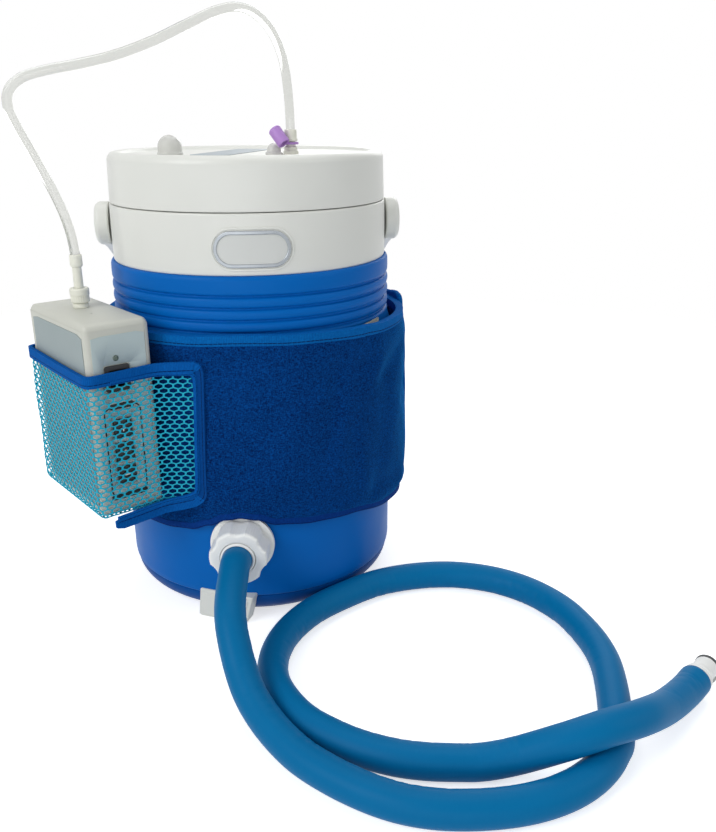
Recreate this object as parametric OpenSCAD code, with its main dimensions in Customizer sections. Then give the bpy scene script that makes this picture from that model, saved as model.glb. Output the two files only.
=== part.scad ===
// Hot and cold therapy machine: an insulated water jug with a lid, a pump box
// in a mesh pocket on a felt wrap, a clear air line and an insulated hose.
// Millimetres, +Z up, the jug's axis on Z and its underside at Z = 0. The badge
// looks along -Y.

/* [Jug barrel] */
// Diameter of the barrel below the ribs
barrel_d = 211.6; // [206:0.2:216]
// Set back of the ribbed neck under the barrel
neck_step = 2.1; // [1:0.1:3]
// Height of the blue part, from the floor to the collar
barrel_top = 255.8; // [250:0.2:262]
// Height of the ribbed neck
neck_h = 45.8; // [44:0.2:50]
// Wall of the barrel
barrel_wall = 2.2; // [1.6:0.1:2.6]
// Number of grooves round the neck
groove_count = 4; // [2:1:4]
// Distance from one groove to the next
groove_pitch = 8.2; // [7:0.1:8.6]
// Distance from the top of the barrel to the first groove
groove_start = 13.4; // [12:0.1:14]
// Depth of a groove
groove_depth = 1.5; // [0.8:0.1:1.6]

/* [Jug base] */
// Height of the base cap
base_h = 19; // [15:0.5:21]
// Distance from the barrel's side in to the flat that the jug stands on
stand_in = 16.8; // [12:0.2:22]
// Set back of the base cap under the barrel
base_step = 1.4; // [0.8:0.1:2]
// Wall of the base cap
base_wall = 2.4; // [2:0.1:3]

/* [Inner vessel] */
// Distance from the barrel's side to the inside of the vessel
insulation_t = 17.8; // [16.8:0.2:22]
// Wall of the vessel
vessel_wall = 2; // [1.6:0.1:2.4]
// Height of the vessel's floor above the ground
vessel_floor_z = 26; // [24:0.5:32]
// Thickness of the vessel's mouth flange
mouth_flange_t = 2.5; // [2:0.1:3]

/* [Collar] */
// Set back of the collar under the barrel
collar_step = 4.6; // [3.8:0.1:5.6]
// Height of the collar
collar_h = 40; // [37:0.5:44]
// Wall of the collar
collar_wall = 2.6; // [2:0.1:3]
// Width of the badge
badge_w = 50.6; // [44:0.2:56]
// Height of the badge
badge_h = 23.6; // [20:0.2:26]
// Width of the badge's metal ring
badge_ring = 2.4; // [1.6:0.1:3]
// How far the badge stands out of the collar
badge_out = 1.4; // [1:0.1:2]
// Height of the badge's centre above the collar's lower edge
badge_up = 17.4; // [15:0.2:21]

/* [Handle] */
// Height of the pivot above the collar's lower edge
pivot_up = 24.2; // [21:0.2:27]
// Space between the folded grip and the barrel
grip_gap = 1.9; // [1.2:0.1:4]
// How far the folded handle hangs below level, in degrees
handle_drop = 22; // [18:1:24]
// Thickness of the handle's strap
strap_t = 5.4; // [4.6:0.1:5.8]
// Width of the handle's strap
strap_w = 15; // [12:0.5:15]
// Radius of the handle's ears
ear_r = 15.6; // [13:0.1:15.8]
// Diameter of the grip
grip_d = 16.5; // [16:0.5:18]
// Length of the grip
grip_len = 92; // [80:1:110]
// Radius of a pivot pin
pin_r = 5; // [4:0.5:6]
// Clearance round a pivot pin
pin_gap = 0.08; // [0.04:0.02:0.1]

/* [Lid] */
// Set back of the lid under the collar
lid_step = 1.2; // [0.6:0.1:3]
// Height of the lid above the seam
lid_h = 34.8; // [32:0.2:38]
// Wall of the lid
lid_wall = 2.6; // [2:0.1:3]
// Gap at the seam between lid and collar
seam_gap = 0.5; // [0.4:0.1:0.8]
// Depth of the dish in the lid's top
dish_depth = 3; // [2.4:0.2:5]
// Width of the rim round the dish
rim_w = 8; // [7:0.2:10]
// Rounding of the rim's outer edge
rim_round = 4; // [3:0.2:5]
// Depth of the plug that enters the vessel's mouth
plug_h = 26; // [22:0.5:30]
// Clearance between the plug and the vessel
plug_gap = 1.6; // [1.2:0.1:2]
// Radius of the vent knob
knob_r = 8.5; // [7:0.1:9]
// Height of the vent knob above the dish
knob_h = 14; // [12.5:0.1:17]
// Travel of the vent knob
knob_lift = 8; // [6:0.5:10]

/* [Air line] */
// Outer diameter of the clear tube
tube_d = 6.4; // [6:0.1:6.8]
// Radius of the tube's end collars
tube_collar_r = 4.4; // [4:0.1:5]
// Height of the port that the tube's end stands on
inlet_h = 9; // [8:0.2:10]
// Radius of the union nut on the pump box
union_r = 6.3; // [5.5:0.1:7]

/* [Outlet] */
// Direction of the outlet round the jug, in degrees
outlet_az = -98.3; // [-100:0.1:-97]
// Height of the outlet's axis
outlet_z = 64.5; // [63.5:0.1:65.5]
// Radius of the outlet flange
flange_r = 23; // [22:0.2:24]
// Thickness of the outlet flange
flange_t = 3; // [2:0.2:3.4]
// Radius of the outlet's threaded spigot
spigot_r = 13; // [12:0.1:13.2]
// Radius of the hose nut
nut_r = 20.6; // [19.8:0.1:21]
// Number of finger notches round the hose nut
nut_notches = 6; // [5:1:8]
// Space between the hose nut and the flange behind it
nut_gap = 0.4; // [0.3:0.05:0.6]
// Radial clearance of the hose nut on its spigot
nut_fit = 0.1; // [0.04:0.02:0.1]

/* [Hose] */
// Outer diameter of the insulated hose
hose_d = 20.6; // [20:0.1:20.8]
// Length of the coupling at the hose's end
coupling_len = 21; // [18:0.5:26]
// Radius of the coupling at the hose
coupling_r = 9.3; // [8.5:0.1:9.8]
// Radius of the coupling's socket
socket_r = 4.5; // [4:0.1:5]

/* [Front foot] */
// Width of the foot
foot_w = 44; // [36:0.5:46]
// Height of the foot
foot_h = 22; // [19:0.5:24]
// Direction of the foot round the jug, in degrees
foot_az = -115; // [-118:0.5:-112]

/* [Wrap] */
// Height of the wrap's lower edge
wrap_z0 = 72; // [70:0.5:76]
// Distance from the collar's lower edge down to the wrap's top edge
wrap_drop = 37.8; // [35.6:0.1:42]
// Thickness of the felt
wrap_t = 5.2; // [4.6:0.1:5.4]
// Space between the barrel and the felt
wrap_gap = 0.4; // [0.3:0.1:0.8]
// How far the wrap bows out at its right side
wrap_bow = 6.5; // [4:0.5:8]
// Width of the binding tape
tape_w = 7; // [6:0.5:8]
// How far the binding tape stands proud of the felt
tape_proud = 0.8; // [0.4:0.1:1]

/* [Pump box] */
// Direction of the box round the jug, in degrees
box_az = -147; // [-148:0.5:-146]
// Height of the box's underside above the wrap's lower edge
box_up = 27; // [25:0.5:29]
// Width of the box along the wrap
box_w = 93; // [91:0.5:95]
// Depth of the box, away from the jug
box_d = 45; // [44:0.5:46]
// Height of the box
box_h = 132; // [130:0.5:134]
// Rounding of the box's edges
box_round = 4; // [4:0.5:6]
// Wall of the box
box_wall = 3; // [2.8:0.1:3.4]
// Space between the box and the wrap
box_gap = 0.6; // [0.4:0.1:1]
// Side of a key
key_s = 13.4; // [12:0.2:14]
// Distance from one key to the next
key_pitch = 16.5; // [15.6:0.1:18]
// Travel of a key
key_travel = 1; // [0.6:0.1:1.2]
// Width of the rocker switch
rocker_w = 15; // [14:0.2:16]
// Height of the rocker switch
rocker_h = 15.4; // [14:0.2:17]
// Tilt of the rocker to each side, in degrees
rocker_tilt = 6; // [4:0.5:7]
// Radius of the power socket's hole
jack_r = 2.8; // [2.6:0.05:3]

/* [Pocket] */
// Height of the pocket's net walls
pocket_h = 93; // [90:0.5:96]
// Thickness of the net
net_t = 1.2; // [0.8:0.1:1.4]
// Space between the net and the box
net_gap = 2.2; // [2:0.1:2.6]
// Width of a mesh of the net
mesh_w = 9.4; // [9:0.1:11]
// Width of the net's strands
strand_w = 1.5; // [1.2:0.1:1.8]
// Width of the pocket's binding tape
pocket_tape_w = 8; // [6:0.5:9]
// Thickness of the pocket's binding tape
pocket_tape_t = 2.8; // [2.4:0.1:3]
// Distance from the box to the pocket's seam on the wrap
seam_run = 17.4; // [16:0.1:19]

/* [Hidden] */
$fn = 72;

eps = 0.02;
barrel_r = barrel_d / 2;
neck_r = barrel_r - neck_step;
collar_r = barrel_r - collar_step;
collar_top = barrel_top + collar_h;
lid_r = collar_r - lid_step;
lid_z = collar_top + seam_gap;
lid_top = lid_z + lid_h;
dish_z = lid_top - dish_depth;
vessel_r = barrel_r - insulation_t;
vessel_out = vessel_r + vessel_wall;
mouth_z = collar_top - collar_wall;
foam_gap = 0.4;
stand_r = barrel_r - stand_in;
base_top_r = barrel_r - base_step;
pivot_z = barrel_top + pivot_up;
handle_gap = 0.8;
arm_x = barrel_r + strap_t / 2 + handle_gap;
handle_reach = (barrel_r + grip_d / 2 + grip_gap) / cos(handle_drop);
bail_corner = 32;
arm_from = ear_r + 6;
ear_face = arm_x + strap_t / 2 + 0.3;
ear_back = collar_r + 0.6;
ear_t = ear_face - ear_back;
head_r = pin_r + 3;
head_t = 1.4;
head_seat = 2;
plug_r = vessel_r - plug_gap;
port_y = -20;
inlet_x = 31.3;
knob_x = -53.7;
valve_x = 19.3;
valve_r = 5;
valve_h = 8;
inlet_bore = 2;
knob_stem_r = 3;
lid_plate_w = lid_r * 0.54;
lid_plate_l = lid_r * 0.96;
inlet_stem_r = 3.2;
tube_r = tube_d / 2;
hose_r = hose_d / 2;
flange_face = barrel_r + 0.3 + flange_t;
nut_back = flange_face + nut_gap;
hose_reach = 25.6;
hose_start = barrel_r + hose_reach;
nut_face = hose_start - 0.4;
collet_t = 5.6;
nut_front_t = 4;
collet_r = 12.1;
hose_bore = 7;
latch_turn = -60;
stem_r = 11;
hole_gap = 0.3;
wrap_z1 = barrel_top - wrap_drop;
wrap_h = wrap_z1 - wrap_z0;
notch_gap = 0.8;
overlap_t = 3.4;
overlap_from = 5;
overlap_to = 65;
flap_to = 15;
flap_h = 6;
hook_from = -50;
hook_to = -35;
bow_at = -12;
bow_spread = 30;
hook_w = 24;
wrap_step = 5;
wrap_in = barrel_r + wrap_gap;
wrap_out = wrap_in + wrap_t;
foot_face = barrel_r + 1.4;
foot_shift = 16.5;
box_back = wrap_out + box_gap;
box_z = wrap_z0 + box_up;
plate_t = 0.6;
plate_inset = 8;
side_inset = 6;
side_inset_z = 6.6;
side_shift = 2;
keypad_shift = 2.9;
keypad_inset = 4.2;
key_x = box_d / 2 + 3.1;
lens_z = box_h - 23.4;
rocker_z = lens_z - 13.3;
key_mid_z = rocker_z - 51.1;
key_gap = 0.3;
key_depth = 5;
cover_t = 3.8;
cover_gap = 0.2;
screw_in = 12;
pin_hole_r = 0.8;
pin_hole_off = [2.7, 22.9];
port_hole_r = 3.6;
key_proud = 0.9;
lens_r = 2;
port_x = box_d / 2 - 1;
port_off = -10.5;
port_ring_h = 3;
port_neck_h = 12;
union_h = 10;
tube_sleeve_h = 23.9;
net_out = box_d + net_gap + net_t;
net_side = box_w / 2 + net_gap + net_t;
seam_x = -22;
seam_y = net_side + seam_run - net_t;
jack_z = box_h - 16;
socket_body_r = 5.5;
pump_r = 12;
pump_motor_h = 44;
pump_head = [27, 26, 24];
battery_h = 34;
battery_trim = [14, 28];
board_in = 10.4;
board_trim = [15, 26];

// Route of the hose along the floor, from the outlet to the coupling
hose_route = [
    [hose_start * cos(outlet_az), hose_start * sin(outlet_az), outlet_z],
    [-21, -hose_start - 11.6, outlet_z], [-24, -178, 50.5],
    [-17, -209.5, 27.5], [-6, -234, 16.5], [12, -262, 11.5],
    [33, -284, 10.3], [55, -301, 10.3], [76, -311, 10.3],
    [100, -316, 10.3], [128, -316.5, 10.3], [153, -311.5, 10.3],
    [174.5, -301, 10.3], [191.5, -285.5, 10.3], [203, -266, 10.3],
    [222, -202, 10.3], [219.5, -151, 10.3], [205, -117, 10.3],
    [182, -93, 10.3], [152, -79, 10.3], [121, -76, 10.3],
    [88, -82, 10.3], [59, -97, 10.3], [32, -117, 10.3],
    [12, -144, 10.3], [2.5, -173.5, 10.3], [4, -202.5, 10.3],
    [18, -233.5, 10.3], [40, -256, 10.3], [62, -270, 10.3],
    [84, -278, 10.3], [110.5, -282.5, 10.3], [132.5, -285.5, 14.5],
    [161, -290.5, 26], [185.5, -289, 31.5], [211, -279, 28],
    [236, -259.5, 17.5], [258, -241, 11.8], [271, -230, 11.3]
];
// Heights of the clear tube's two ends
tube_from_z = dish_z + inlet_h + 3.9;
tube_to_z = box_z + box_h + port_neck_h + 0.1 + tube_sleeve_h;
// Route of the clear tube, from the lid to the pump box
tube_route = [
    [inlet_x, port_y, tube_from_z], [31.2, -20.5, tube_from_z + 13],
    [30, -23, tube_from_z + 32], [27, -26, 392],
    [20, -30, 408], [10, -33, 418], [-2, -35, 422], [-17, -38, 419],
    [-36, -42, 410.5], [-58, -48, 400], [-82, -55, 391], [-104, -61, 385.5],
    [-122, -65, 382], [-137, -67, 377.5], [-146, -67, 370],
    [-147.9, -66.5, 360], [-143.6, -65.5, 347], [-136.3, -64.2, 330.1],
    [-128.4, -63.6, 311.4], [-122.2, -63.7, tube_to_z + 27],
    [-119, -63.9, tube_to_z + 13], [-117.7, -63.9, tube_to_z]
];

// A point of the smooth curve through four points, at share t of the middle run
function curve_point(p0, p1, p2, p3, t) =
    0.5 * ((2 * p1) + (p2 - p0) * t + (2 * p0 - 5 * p1 + 4 * p2 - p3) * t * t
    + (3 * p1 - p0 - 3 * p2 + p3) * t * t * t);
function route_at(route, i) =
    i < 0 ? 2 * route[0] - route[1]
    : i >= len(route) ? 2 * route[len(route) - 1] - route[len(route) - 2]
    : route[i];
function rest_on_floor(p, r) = [p[0], p[1], max(p[2], r)];
// The route with `steps` points on each run, kept a radius above the floor
function smooth_route(route, steps, r) = [
    for (i = [0 : len(route) - 2])
        for (k = [0 : steps - 1])
            rest_on_floor(curve_point(route_at(route, i - 1), route[i],
                route[i + 1], route_at(route, i + 2), k / steps), r),
    rest_on_floor(route[len(route) - 1], r)
];
function unit(v) = v / norm(v);
function run_direction(p, i) =
    unit(p[min(i + 1, len(p) - 1)] - p[max(i - 1, 0)]);
function ring_points(p, i, r, sides, side_ref) =
    let (t = run_direction(p, i), u = unit(cross(side_ref, t)), v = cross(t, u))
    [for (k = [0 : sides - 1])
        p[i] + r * (cos(360 * k / sides) * u + sin(360 * k / sides) * v)];

// A round tube along points, as rings joined by triangles
module swept_tube(p, r, sides, side_ref) {
    last = len(p) - 1;
    points = [for (i = [0 : last]) each ring_points(p, i, r, sides, side_ref)];
    walls = [for (i = [0 : last - 1]) for (k = [0 : sides - 1])
        let (a = i * sides + k, b = i * sides + (k + 1) % sides)
        each [[a, a + sides, b + sides], [a, b + sides, b]]];
    start_cap = [for (k = [1 : sides - 2]) [0, k, k + 1]];
    end_cap = [for (k = [1 : sides - 2])
        [last * sides, last * sides + k + 1, last * sides + k]];
    polyhedron(points = points, faces = concat(walls, start_cap, end_cap));
}

function arc_points(cx, cy, r, a0, a1, n) = [
    for (i = [0 : n])
        let (a = a0 + (a1 - a0) * i / n) [cx + r * cos(a), cy + r * sin(a)]
];

// Puts its children at a radius and height, with their own Z pointing outward
module outward(az, r, z) {
    rotate([0, 0, az]) translate([r, 0, z]) rotate([0, 90, 0]) children();
}

// The pump box's own frame: X away from the jug, Y towards the keypad, Z up
module at_box() {
    rotate([0, 0, box_az]) translate([box_back, 0, box_z]) children();
}

module tube_ring(r_out, r_in, h) {
    difference() {
        cylinder(r = r_out, h = h);
        translate([0, 0, -1]) cylinder(r = r_in, h = h + 2);
    }
}

// A flat with straight sides and half round ends
module stadium(w, h) {
    square([w - h, h], center = true);
    for (s = [-1, 1]) translate([s * (w - h) / 2, 0]) circle(d = h);
}

module round_rect(w, h, r) {
    square([w - 2 * r, h], center = true);
    square([w, h - 2 * r], center = true);
    for (sx = [-1, 1], sy = [-1, 1])
        translate([sx * (w / 2 - r), sy * (h / 2 - r)]) circle(r = r);
}

// A block with all its edges rounded, centred on X and Y and standing on Z
module soft_block(lx, ly, lz, r) {
    hull() {
        for (x = [-lx / 2 + r, lx / 2 - r], y = [-ly / 2 + r, ly / 2 - r])
            for (z = [r, lz - r])
                translate([x, y, z]) sphere(r = r, $fn = 24);
    }
}

// The outlet's own frame: its Z runs out of the jug along the outlet
module at_outlet(r) {
    outward(outlet_az, r, outlet_z) children();
}

// ---- jug ----
// A groove's outline, from its upper edge to its lower edge
function groove_outline(z) = [
    [neck_r, z + 2], [neck_r - groove_depth, z + 0.8],
    [neck_r - groove_depth, z - 0.8], [neck_r, z - 2]
];

// The base cap's outer edge from the ground up, grown by g
function base_outline(g) = concat([[stand_r + g, 0]],
    arc_points(stand_r, base_h, base_top_r - stand_r + g, -60, 0, 4));

module barrel_shell() {
    neck_z = barrel_top - neck_h;
    color("royalblue") difference() {
        rotate_extrude() polygon(concat(
            [[neck_r - barrel_wall - 1, barrel_top], [neck_r, barrel_top]],
            [for (i = [0 : groove_count - 1])
                each groove_outline(barrel_top - groove_start - i * groove_pitch)],
            [[neck_r, neck_z + 2], [barrel_r, neck_z - 2], [barrel_r, base_h],
             [barrel_r - barrel_wall, base_h],
             [barrel_r - barrel_wall, neck_z - 4],
             [neck_r - barrel_wall - 1, neck_z]]
        ));
        at_outlet(barrel_r - 10) cylinder(r = stem_r + hole_gap, h = 20);
    }
}

module base_cap() {
    color("mediumblue") rotate_extrude() polygon(concat(
        [[0, 0]], base_outline(0),
        [[base_top_r - base_wall, base_h], [stand_r, base_wall * 1.6],
         [0, base_wall]]
    ));
}

module collar_ring() {
    color("whitesmoke") difference() {
        rotate_extrude() polygon([
            [collar_r - collar_wall, barrel_top], [collar_r - 0.4, barrel_top],
            [collar_r, barrel_top + 1.5], [collar_r, collar_top - 0.8],
            [collar_r - 0.8, collar_top], [vessel_out + 0.3, collar_top],
            [vessel_out + 0.3, mouth_z], [collar_r - collar_wall, mouth_z]
        ]);
        for (s = [-1, 1])
            translate([0, 0, pivot_z]) rotate([0, s * 90, 0])
                cylinder(r = pin_r + eps, h = collar_r + 5);
    }
}

module vessel_liner() {
    lip_z = mouth_z - mouth_flange_t;
    color("white") difference() {
        rotate_extrude() polygon([
            [0, vessel_floor_z - vessel_wall], [vessel_r - 6, vessel_floor_z - vessel_wall],
            [vessel_out, vessel_floor_z + 6], [vessel_out, lip_z],
            [collar_r - collar_wall - 0.3, lip_z],
            [collar_r - collar_wall - 0.3, mouth_z],
            [vessel_r, mouth_z], [vessel_r, vessel_floor_z + 7],
            [vessel_r - 7, vessel_floor_z], [0, vessel_floor_z]
        ]);
        at_outlet(vessel_r - 10) cylinder(r = stem_r + hole_gap, h = 20);
    }
}

module jug_foam() {
    foam_out = neck_r - barrel_wall - 1 - foam_gap;
    foam_in = vessel_out + foam_gap;
    floor_z = vessel_floor_z - vessel_wall - foam_gap;
    color("gold") difference() {
        rotate_extrude() polygon([
            [0, base_wall * 1.6 + foam_gap],
            [stand_r - 4, base_wall * 1.6 + foam_gap],
            [foam_out - 3, base_h], [foam_out, base_h + 4],
            [foam_out, barrel_top - 1], [foam_in, barrel_top - 1],
            [foam_in, vessel_floor_z + 6], [vessel_r - 6, floor_z], [0, floor_z]
        ]);
        at_outlet(vessel_r - 10) cylinder(r = stem_r + hole_gap, h = 30);
    }
}

// The badge is cut from a curved skin on the collar's front
module badge_slice(r_in, r_out) {
    intersection() {
        translate([0, 0, barrel_top + badge_up - badge_h])
            tube_ring(r_out, r_in, badge_h * 2);
        translate([0, -collar_r + 12, barrel_top + badge_up])
            rotate([90, 0, 0]) linear_extrude(40) children();
    }
}

module badge_ring_frame() {
    color("silver") badge_slice(collar_r + eps, collar_r + badge_out)
        difference() {
            stadium(badge_w, badge_h);
            stadium(badge_w - 2 * badge_ring, badge_h - 2 * badge_ring);
        }
}

module badge_plate() {
    inset = 2 * badge_ring + 0.2;
    color("gainsboro") badge_slice(collar_r + eps, collar_r + badge_out * 0.6)
        stadium(badge_w - inset, badge_h - inset);
}

module pivot_pins() {
    color("whitesmoke") for (s = [-1, 1])
        translate([0, 0, pivot_z]) rotate([0, s * 90, 0]) {
            translate([0, 0, collar_r - collar_wall])
                cylinder(r = pin_r, h = ear_face - head_t - collar_r + collar_wall);
            translate([0, 0, ear_face - head_t - 0.3])
                cylinder(r = head_r, h = head_t);
        }
}

// The bail's outline from above its ears to the crossbar
module bail_outline(grow) {
    corner_x = arm_x - bail_corner;
    corner_z = handle_reach - bail_corner;
    translate([-arm_x - grow, arm_from - grow])
        square([2 * (arm_x + grow), corner_z - arm_from + grow]);
    translate([-corner_x, arm_from - grow])
        square([2 * corner_x, handle_reach - arm_from + 2 * grow]);
    for (s = [-1, 1])
        translate([s * corner_x, corner_z]) circle(r = bail_corner + grow);
}

// The handle upright, with its pivot at the origin
module upright_handle() {
    taper_end = ear_r + 18;
    difference() {
        union() {
            rotate([90, 0, 0]) linear_extrude(strap_w, center = true)
                difference() {
                    bail_outline(strap_t / 2);
                    bail_outline(-strap_t / 2);
                    translate([-arm_x + strap_t / 2, 0])
                        square([2 * arm_x - strap_t, arm_from + 10]);
                }
            for (s = [-1, 1])
                translate([s * (ear_face + ear_back) / 2, 0, 0])
                    rotate([0, 90, 0]) linear_extrude(ear_t, center = true) {
                        circle(r = ear_r);
                        polygon([[0, ear_r * 0.96], [0, -ear_r * 0.96],
                            [-taper_end, -strap_w / 2 + 0.3],
                            [-taper_end, strap_w / 2 - 0.3]]);
                    }
            translate([0, 0, handle_reach]) rotate([0, 90, 0])
                cylinder(d = grip_d, h = grip_len, center = true);
        }
        rotate([0, 90, 0])
            cylinder(r = pin_r + pin_gap, h = 3 * arm_x, center = true);
        for (s = [-1, 1])
            translate([s * (ear_face - head_seat), 0, 0]) rotate([0, s * 90, 0])
                cylinder(r = head_r + hole_gap, h = head_seat + 5);
    }
}

module handle() {
    color("whitesmoke") translate([0, 0, pivot_z])
        rotate([-90 - handle_drop, 0, 0]) upright_handle();
}

// ---- lid ----
module lid_shell() {
    wall_r = lid_r - lid_wall;
    dish_r = lid_r - rim_w;
    color("whitesmoke") difference() {
        rotate_extrude() polygon(concat(
            [[wall_r, lid_z], [lid_r, lid_z]],
            arc_points(lid_r - rim_round, lid_top - rim_round, rim_round, 0, 90, 4),
            [[dish_r + 1.6, lid_top], [dish_r, lid_top - 1.6],
             [dish_r - 1, dish_z + 0.6], [dish_r - 2.4, dish_z],
             [0, dish_z], [0, dish_z - lid_wall],
             [wall_r - 4, dish_z - lid_wall], [wall_r, dish_z - lid_wall - 4]]
        ));
        translate([inlet_x, port_y, dish_z - 10])
            cylinder(r = inlet_stem_r + hole_gap, h = 20);
        translate([knob_x, port_y, dish_z - 10])
            cylinder(r = knob_stem_r + nut_fit, h = 20);
    }
}

module lid_plug() {
    plug_z = lid_z - plug_h;
    color("white") difference() {
        rotate_extrude() polygon([
            [0, plug_z], [plug_r - 2, plug_z], [plug_r, plug_z + 2],
            [plug_r, lid_z], [lid_r - lid_wall - 0.3, lid_z],
            [lid_r - lid_wall - 0.3, lid_z + 2.4], [plug_r - 2.2, lid_z + 2.4],
            [plug_r - 2.2, plug_z + 2.2], [0, plug_z + 2.2]
        ]);
        translate([inlet_x, port_y, plug_z - 5])
            cylinder(r = inlet_stem_r + hole_gap, h = 20);
    }
}

module lid_gasket() {
    color("dimgray") translate([0, 0, lid_z - 12])
        tube_ring(vessel_r - 0.3, plug_r + eps, 5);
}

module lid_foam() {
    foam_top = dish_z - lid_wall - foam_gap;
    color("gold") difference() {
        rotate_extrude() polygon([
            [0, lid_z - plug_h + 2.2 + foam_gap],
            [plug_r - 2.2 - foam_gap, lid_z - plug_h + 2.2 + foam_gap],
            [plug_r - 2.2 - foam_gap, lid_z + 2.4 + foam_gap],
            [lid_r - lid_wall - 1, lid_z + 2.4 + foam_gap],
            [lid_r - lid_wall - 1, foam_top - 5],
            [lid_r - lid_wall - 6, foam_top], [0, foam_top]
        ]);
        translate([inlet_x, port_y, lid_z - plug_h - 5])
            cylinder(r = inlet_stem_r + hole_gap, h = 80);
        translate([knob_x, port_y, foam_top - 14])
            cylinder(r = knob_stem_r + hole_gap, h = 30);
    }
}

module vent_knob() {
    color("ghostwhite") translate([knob_x, port_y, dish_z]) {
        translate([0, 0, 0.3]) rotate_extrude() polygon(concat(
            [[0, 0], [knob_r, 0]],
            arc_points(0, knob_h - knob_r - 0.3, knob_r, 0, 90, 7)
        ));
        translate([0, 0, -knob_lift - 3])
            cylinder(r = knob_stem_r, h = knob_lift + 4);
    }
}

module lid_plate() {
    color("slategray") translate([-15, 30, dish_z])
        linear_extrude(0.8) round_rect(lid_plate_w, lid_plate_l, 3);
}

module check_valve() {
    color("ghostwhite") translate([valve_x, port_y, dish_z]) rotate_extrude()
        polygon(concat([[0, 0], [valve_r + 1, 0], [valve_r + 1, 1.6], [valve_r, 1.6]],
            arc_points(0, valve_h - valve_r, valve_r, 0, 90, 5)));
}

module air_inlet() {
    color("ivory") translate([inlet_x, port_y, 0]) difference() {
        union() {
            translate([0, 0, dish_z]) cylinder(r = 5.2, h = 3);
            translate([0, 0, dish_z]) cylinder(r = inlet_stem_r, h = inlet_h);
            translate([0, 0, lid_z - plug_h - 3])
                cylinder(r = inlet_stem_r, h = dish_z - lid_z + plug_h + 4);
        }
        translate([0, 0, lid_z - plug_h - 4]) cylinder(r = inlet_bore, h = 120);
    }
}

module tube_end_lid() {
    seat_z = dish_z + inlet_h;
    color("ivory") translate([inlet_x, port_y, seat_z]) difference() {
        union() {
            cylinder(r = tube_collar_r, h = tube_from_z - 0.1 - seat_z);
            cylinder(r = tube_collar_r + 0.5, h = 2.4);
        }
        translate([0, 0, -1]) cylinder(r = inlet_bore, h = 30);
    }
}

// The purple cap hangs beside the inlet on a ring and a short strap
module port_cap() {
    ring_z = dish_z + inlet_h - 2;
    cap_r = 4.4;
    cap_len = 12;
    color("mediumorchid") translate([inlet_x, port_y, ring_z]) {
        tube_ring(tube_collar_r + 1, inlet_stem_r + 0.2, 1.6);
        translate([-5.9, -7.4, 0]) rotate([0, 0, 52]) cube([5.5, 3, 1.6]);
        translate([-8.4, -8, 5.5]) rotate([0, -40, -35]) difference() {
            translate([0, 0, -cap_len / 2]) cylinder(r = cap_r, h = cap_len);
            translate([0, 0, -cap_len / 2 - 1])
                cylinder(r = cap_r - 1.2, h = cap_len - 1);
        }
        translate([-7, -7.6, 0]) cylinder(r = 1.5, h = 4);
    }
}

module air_tube() {
    color("lightgray", 0.6)
        swept_tube(smooth_route(tube_route, 1, tube_r), tube_r, 8, [0, 1, 0]);
}

// ---- outlet and hose ----
module outlet_flange() {
    color("whitesmoke") at_outlet(0) difference() {
        union() {
            translate([0, 0, barrel_r + 0.3]) cylinder(r = flange_r, h = flange_t);
            translate([0, 0, vessel_r - 14])
                cylinder(r = stem_r, h = flange_face - vessel_r + 14);
            translate([0, 0, flange_face - eps])
                cylinder(r = spigot_r, h = hose_start - collet_t - flange_face);
        }
        translate([0, 0, vessel_r - 20]) cylinder(r = hose_bore, h = 80);
    }
}

module outlet_gasket() {
    color("dimgray") difference() {
        at_outlet(barrel_r - 4) tube_ring(flange_r - 2, stem_r + hole_gap, 4.2);
        cylinder(r = barrel_r + eps, h = barrel_top, $fn = 360);
    }
}

module inner_nut() {
    color("whitesmoke") at_outlet(vessel_r - 9) difference() {
        cylinder(r = 16, h = 7, $fn = 6);
        translate([0, 0, -1]) cylinder(r = stem_r + 0.05, h = 10);
    }
}

module hose_nut() {
    notch_r = 14;
    notch_depth = 1.6;
    nut_len = nut_face - nut_back;
    color("whitesmoke") at_outlet(nut_back) difference() {
        linear_extrude(nut_len) difference() {
            circle(r = nut_r);
            for (i = [0 : nut_notches - 1])
                rotate(i * 360 / nut_notches)
                    translate([nut_r + notch_r - notch_depth, 0]) circle(r = notch_r);
        }
        translate([0, 0, -1])
            cylinder(r = spigot_r + nut_fit, h = nut_len - nut_front_t + 1);
        cylinder(r = collet_r + nut_gap, h = nut_len + 1);
    }
}

module hose_collet() {
    color("white") at_outlet(hose_start - collet_t)
        tube_ring(collet_r, hose_bore, collet_t);
}

module hose() {
    path = smooth_route(hose_route, 2, hose_r);
    color("steelblue") swept_tube(path, hose_r, 10, [0, 0, 1]);
}

// The coupling's own frame: its Z runs along the hose's end
module at_coupling() {
    end = hose_route[len(hose_route) - 1];
    run = end - hose_route[len(hose_route) - 2];
    translate(end) rotate([0, 0, atan2(run[1], run[0])]) rotate([0, 90, 0])
        children();
}

module coupling_body() {
    tip_r = coupling_r - 1.6;
    color("whitesmoke") at_coupling() difference() {
        rotate_extrude() polygon([
            [0, 0], [coupling_r, 0], [coupling_r, 6], [tip_r + 0.6, 8],
            [tip_r, 12], [tip_r, coupling_len - 2.4], [0, coupling_len - 2.4]
        ]);
        translate([0, 0, 4]) cylinder(r = socket_r, h = coupling_len);
        rotate(latch_turn) translate([tip_r - 2.4, -2.7, 10]) cube([6, 5.4, 6]);
    }
}

module coupling_ring() {
    color("dimgray") at_coupling() translate([0, 0, coupling_len - 2.4])
        tube_ring(coupling_r - 1.2, socket_r + 0.6, 2.4);
}

module coupling_latch() {
    tip_r = coupling_r - 1.6;
    color("lightgray") at_coupling() rotate(latch_turn)
        translate([tip_r - 0.6, -2.4, 10.3]) cube([1.8, 4.8, 5.4]);
}

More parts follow.
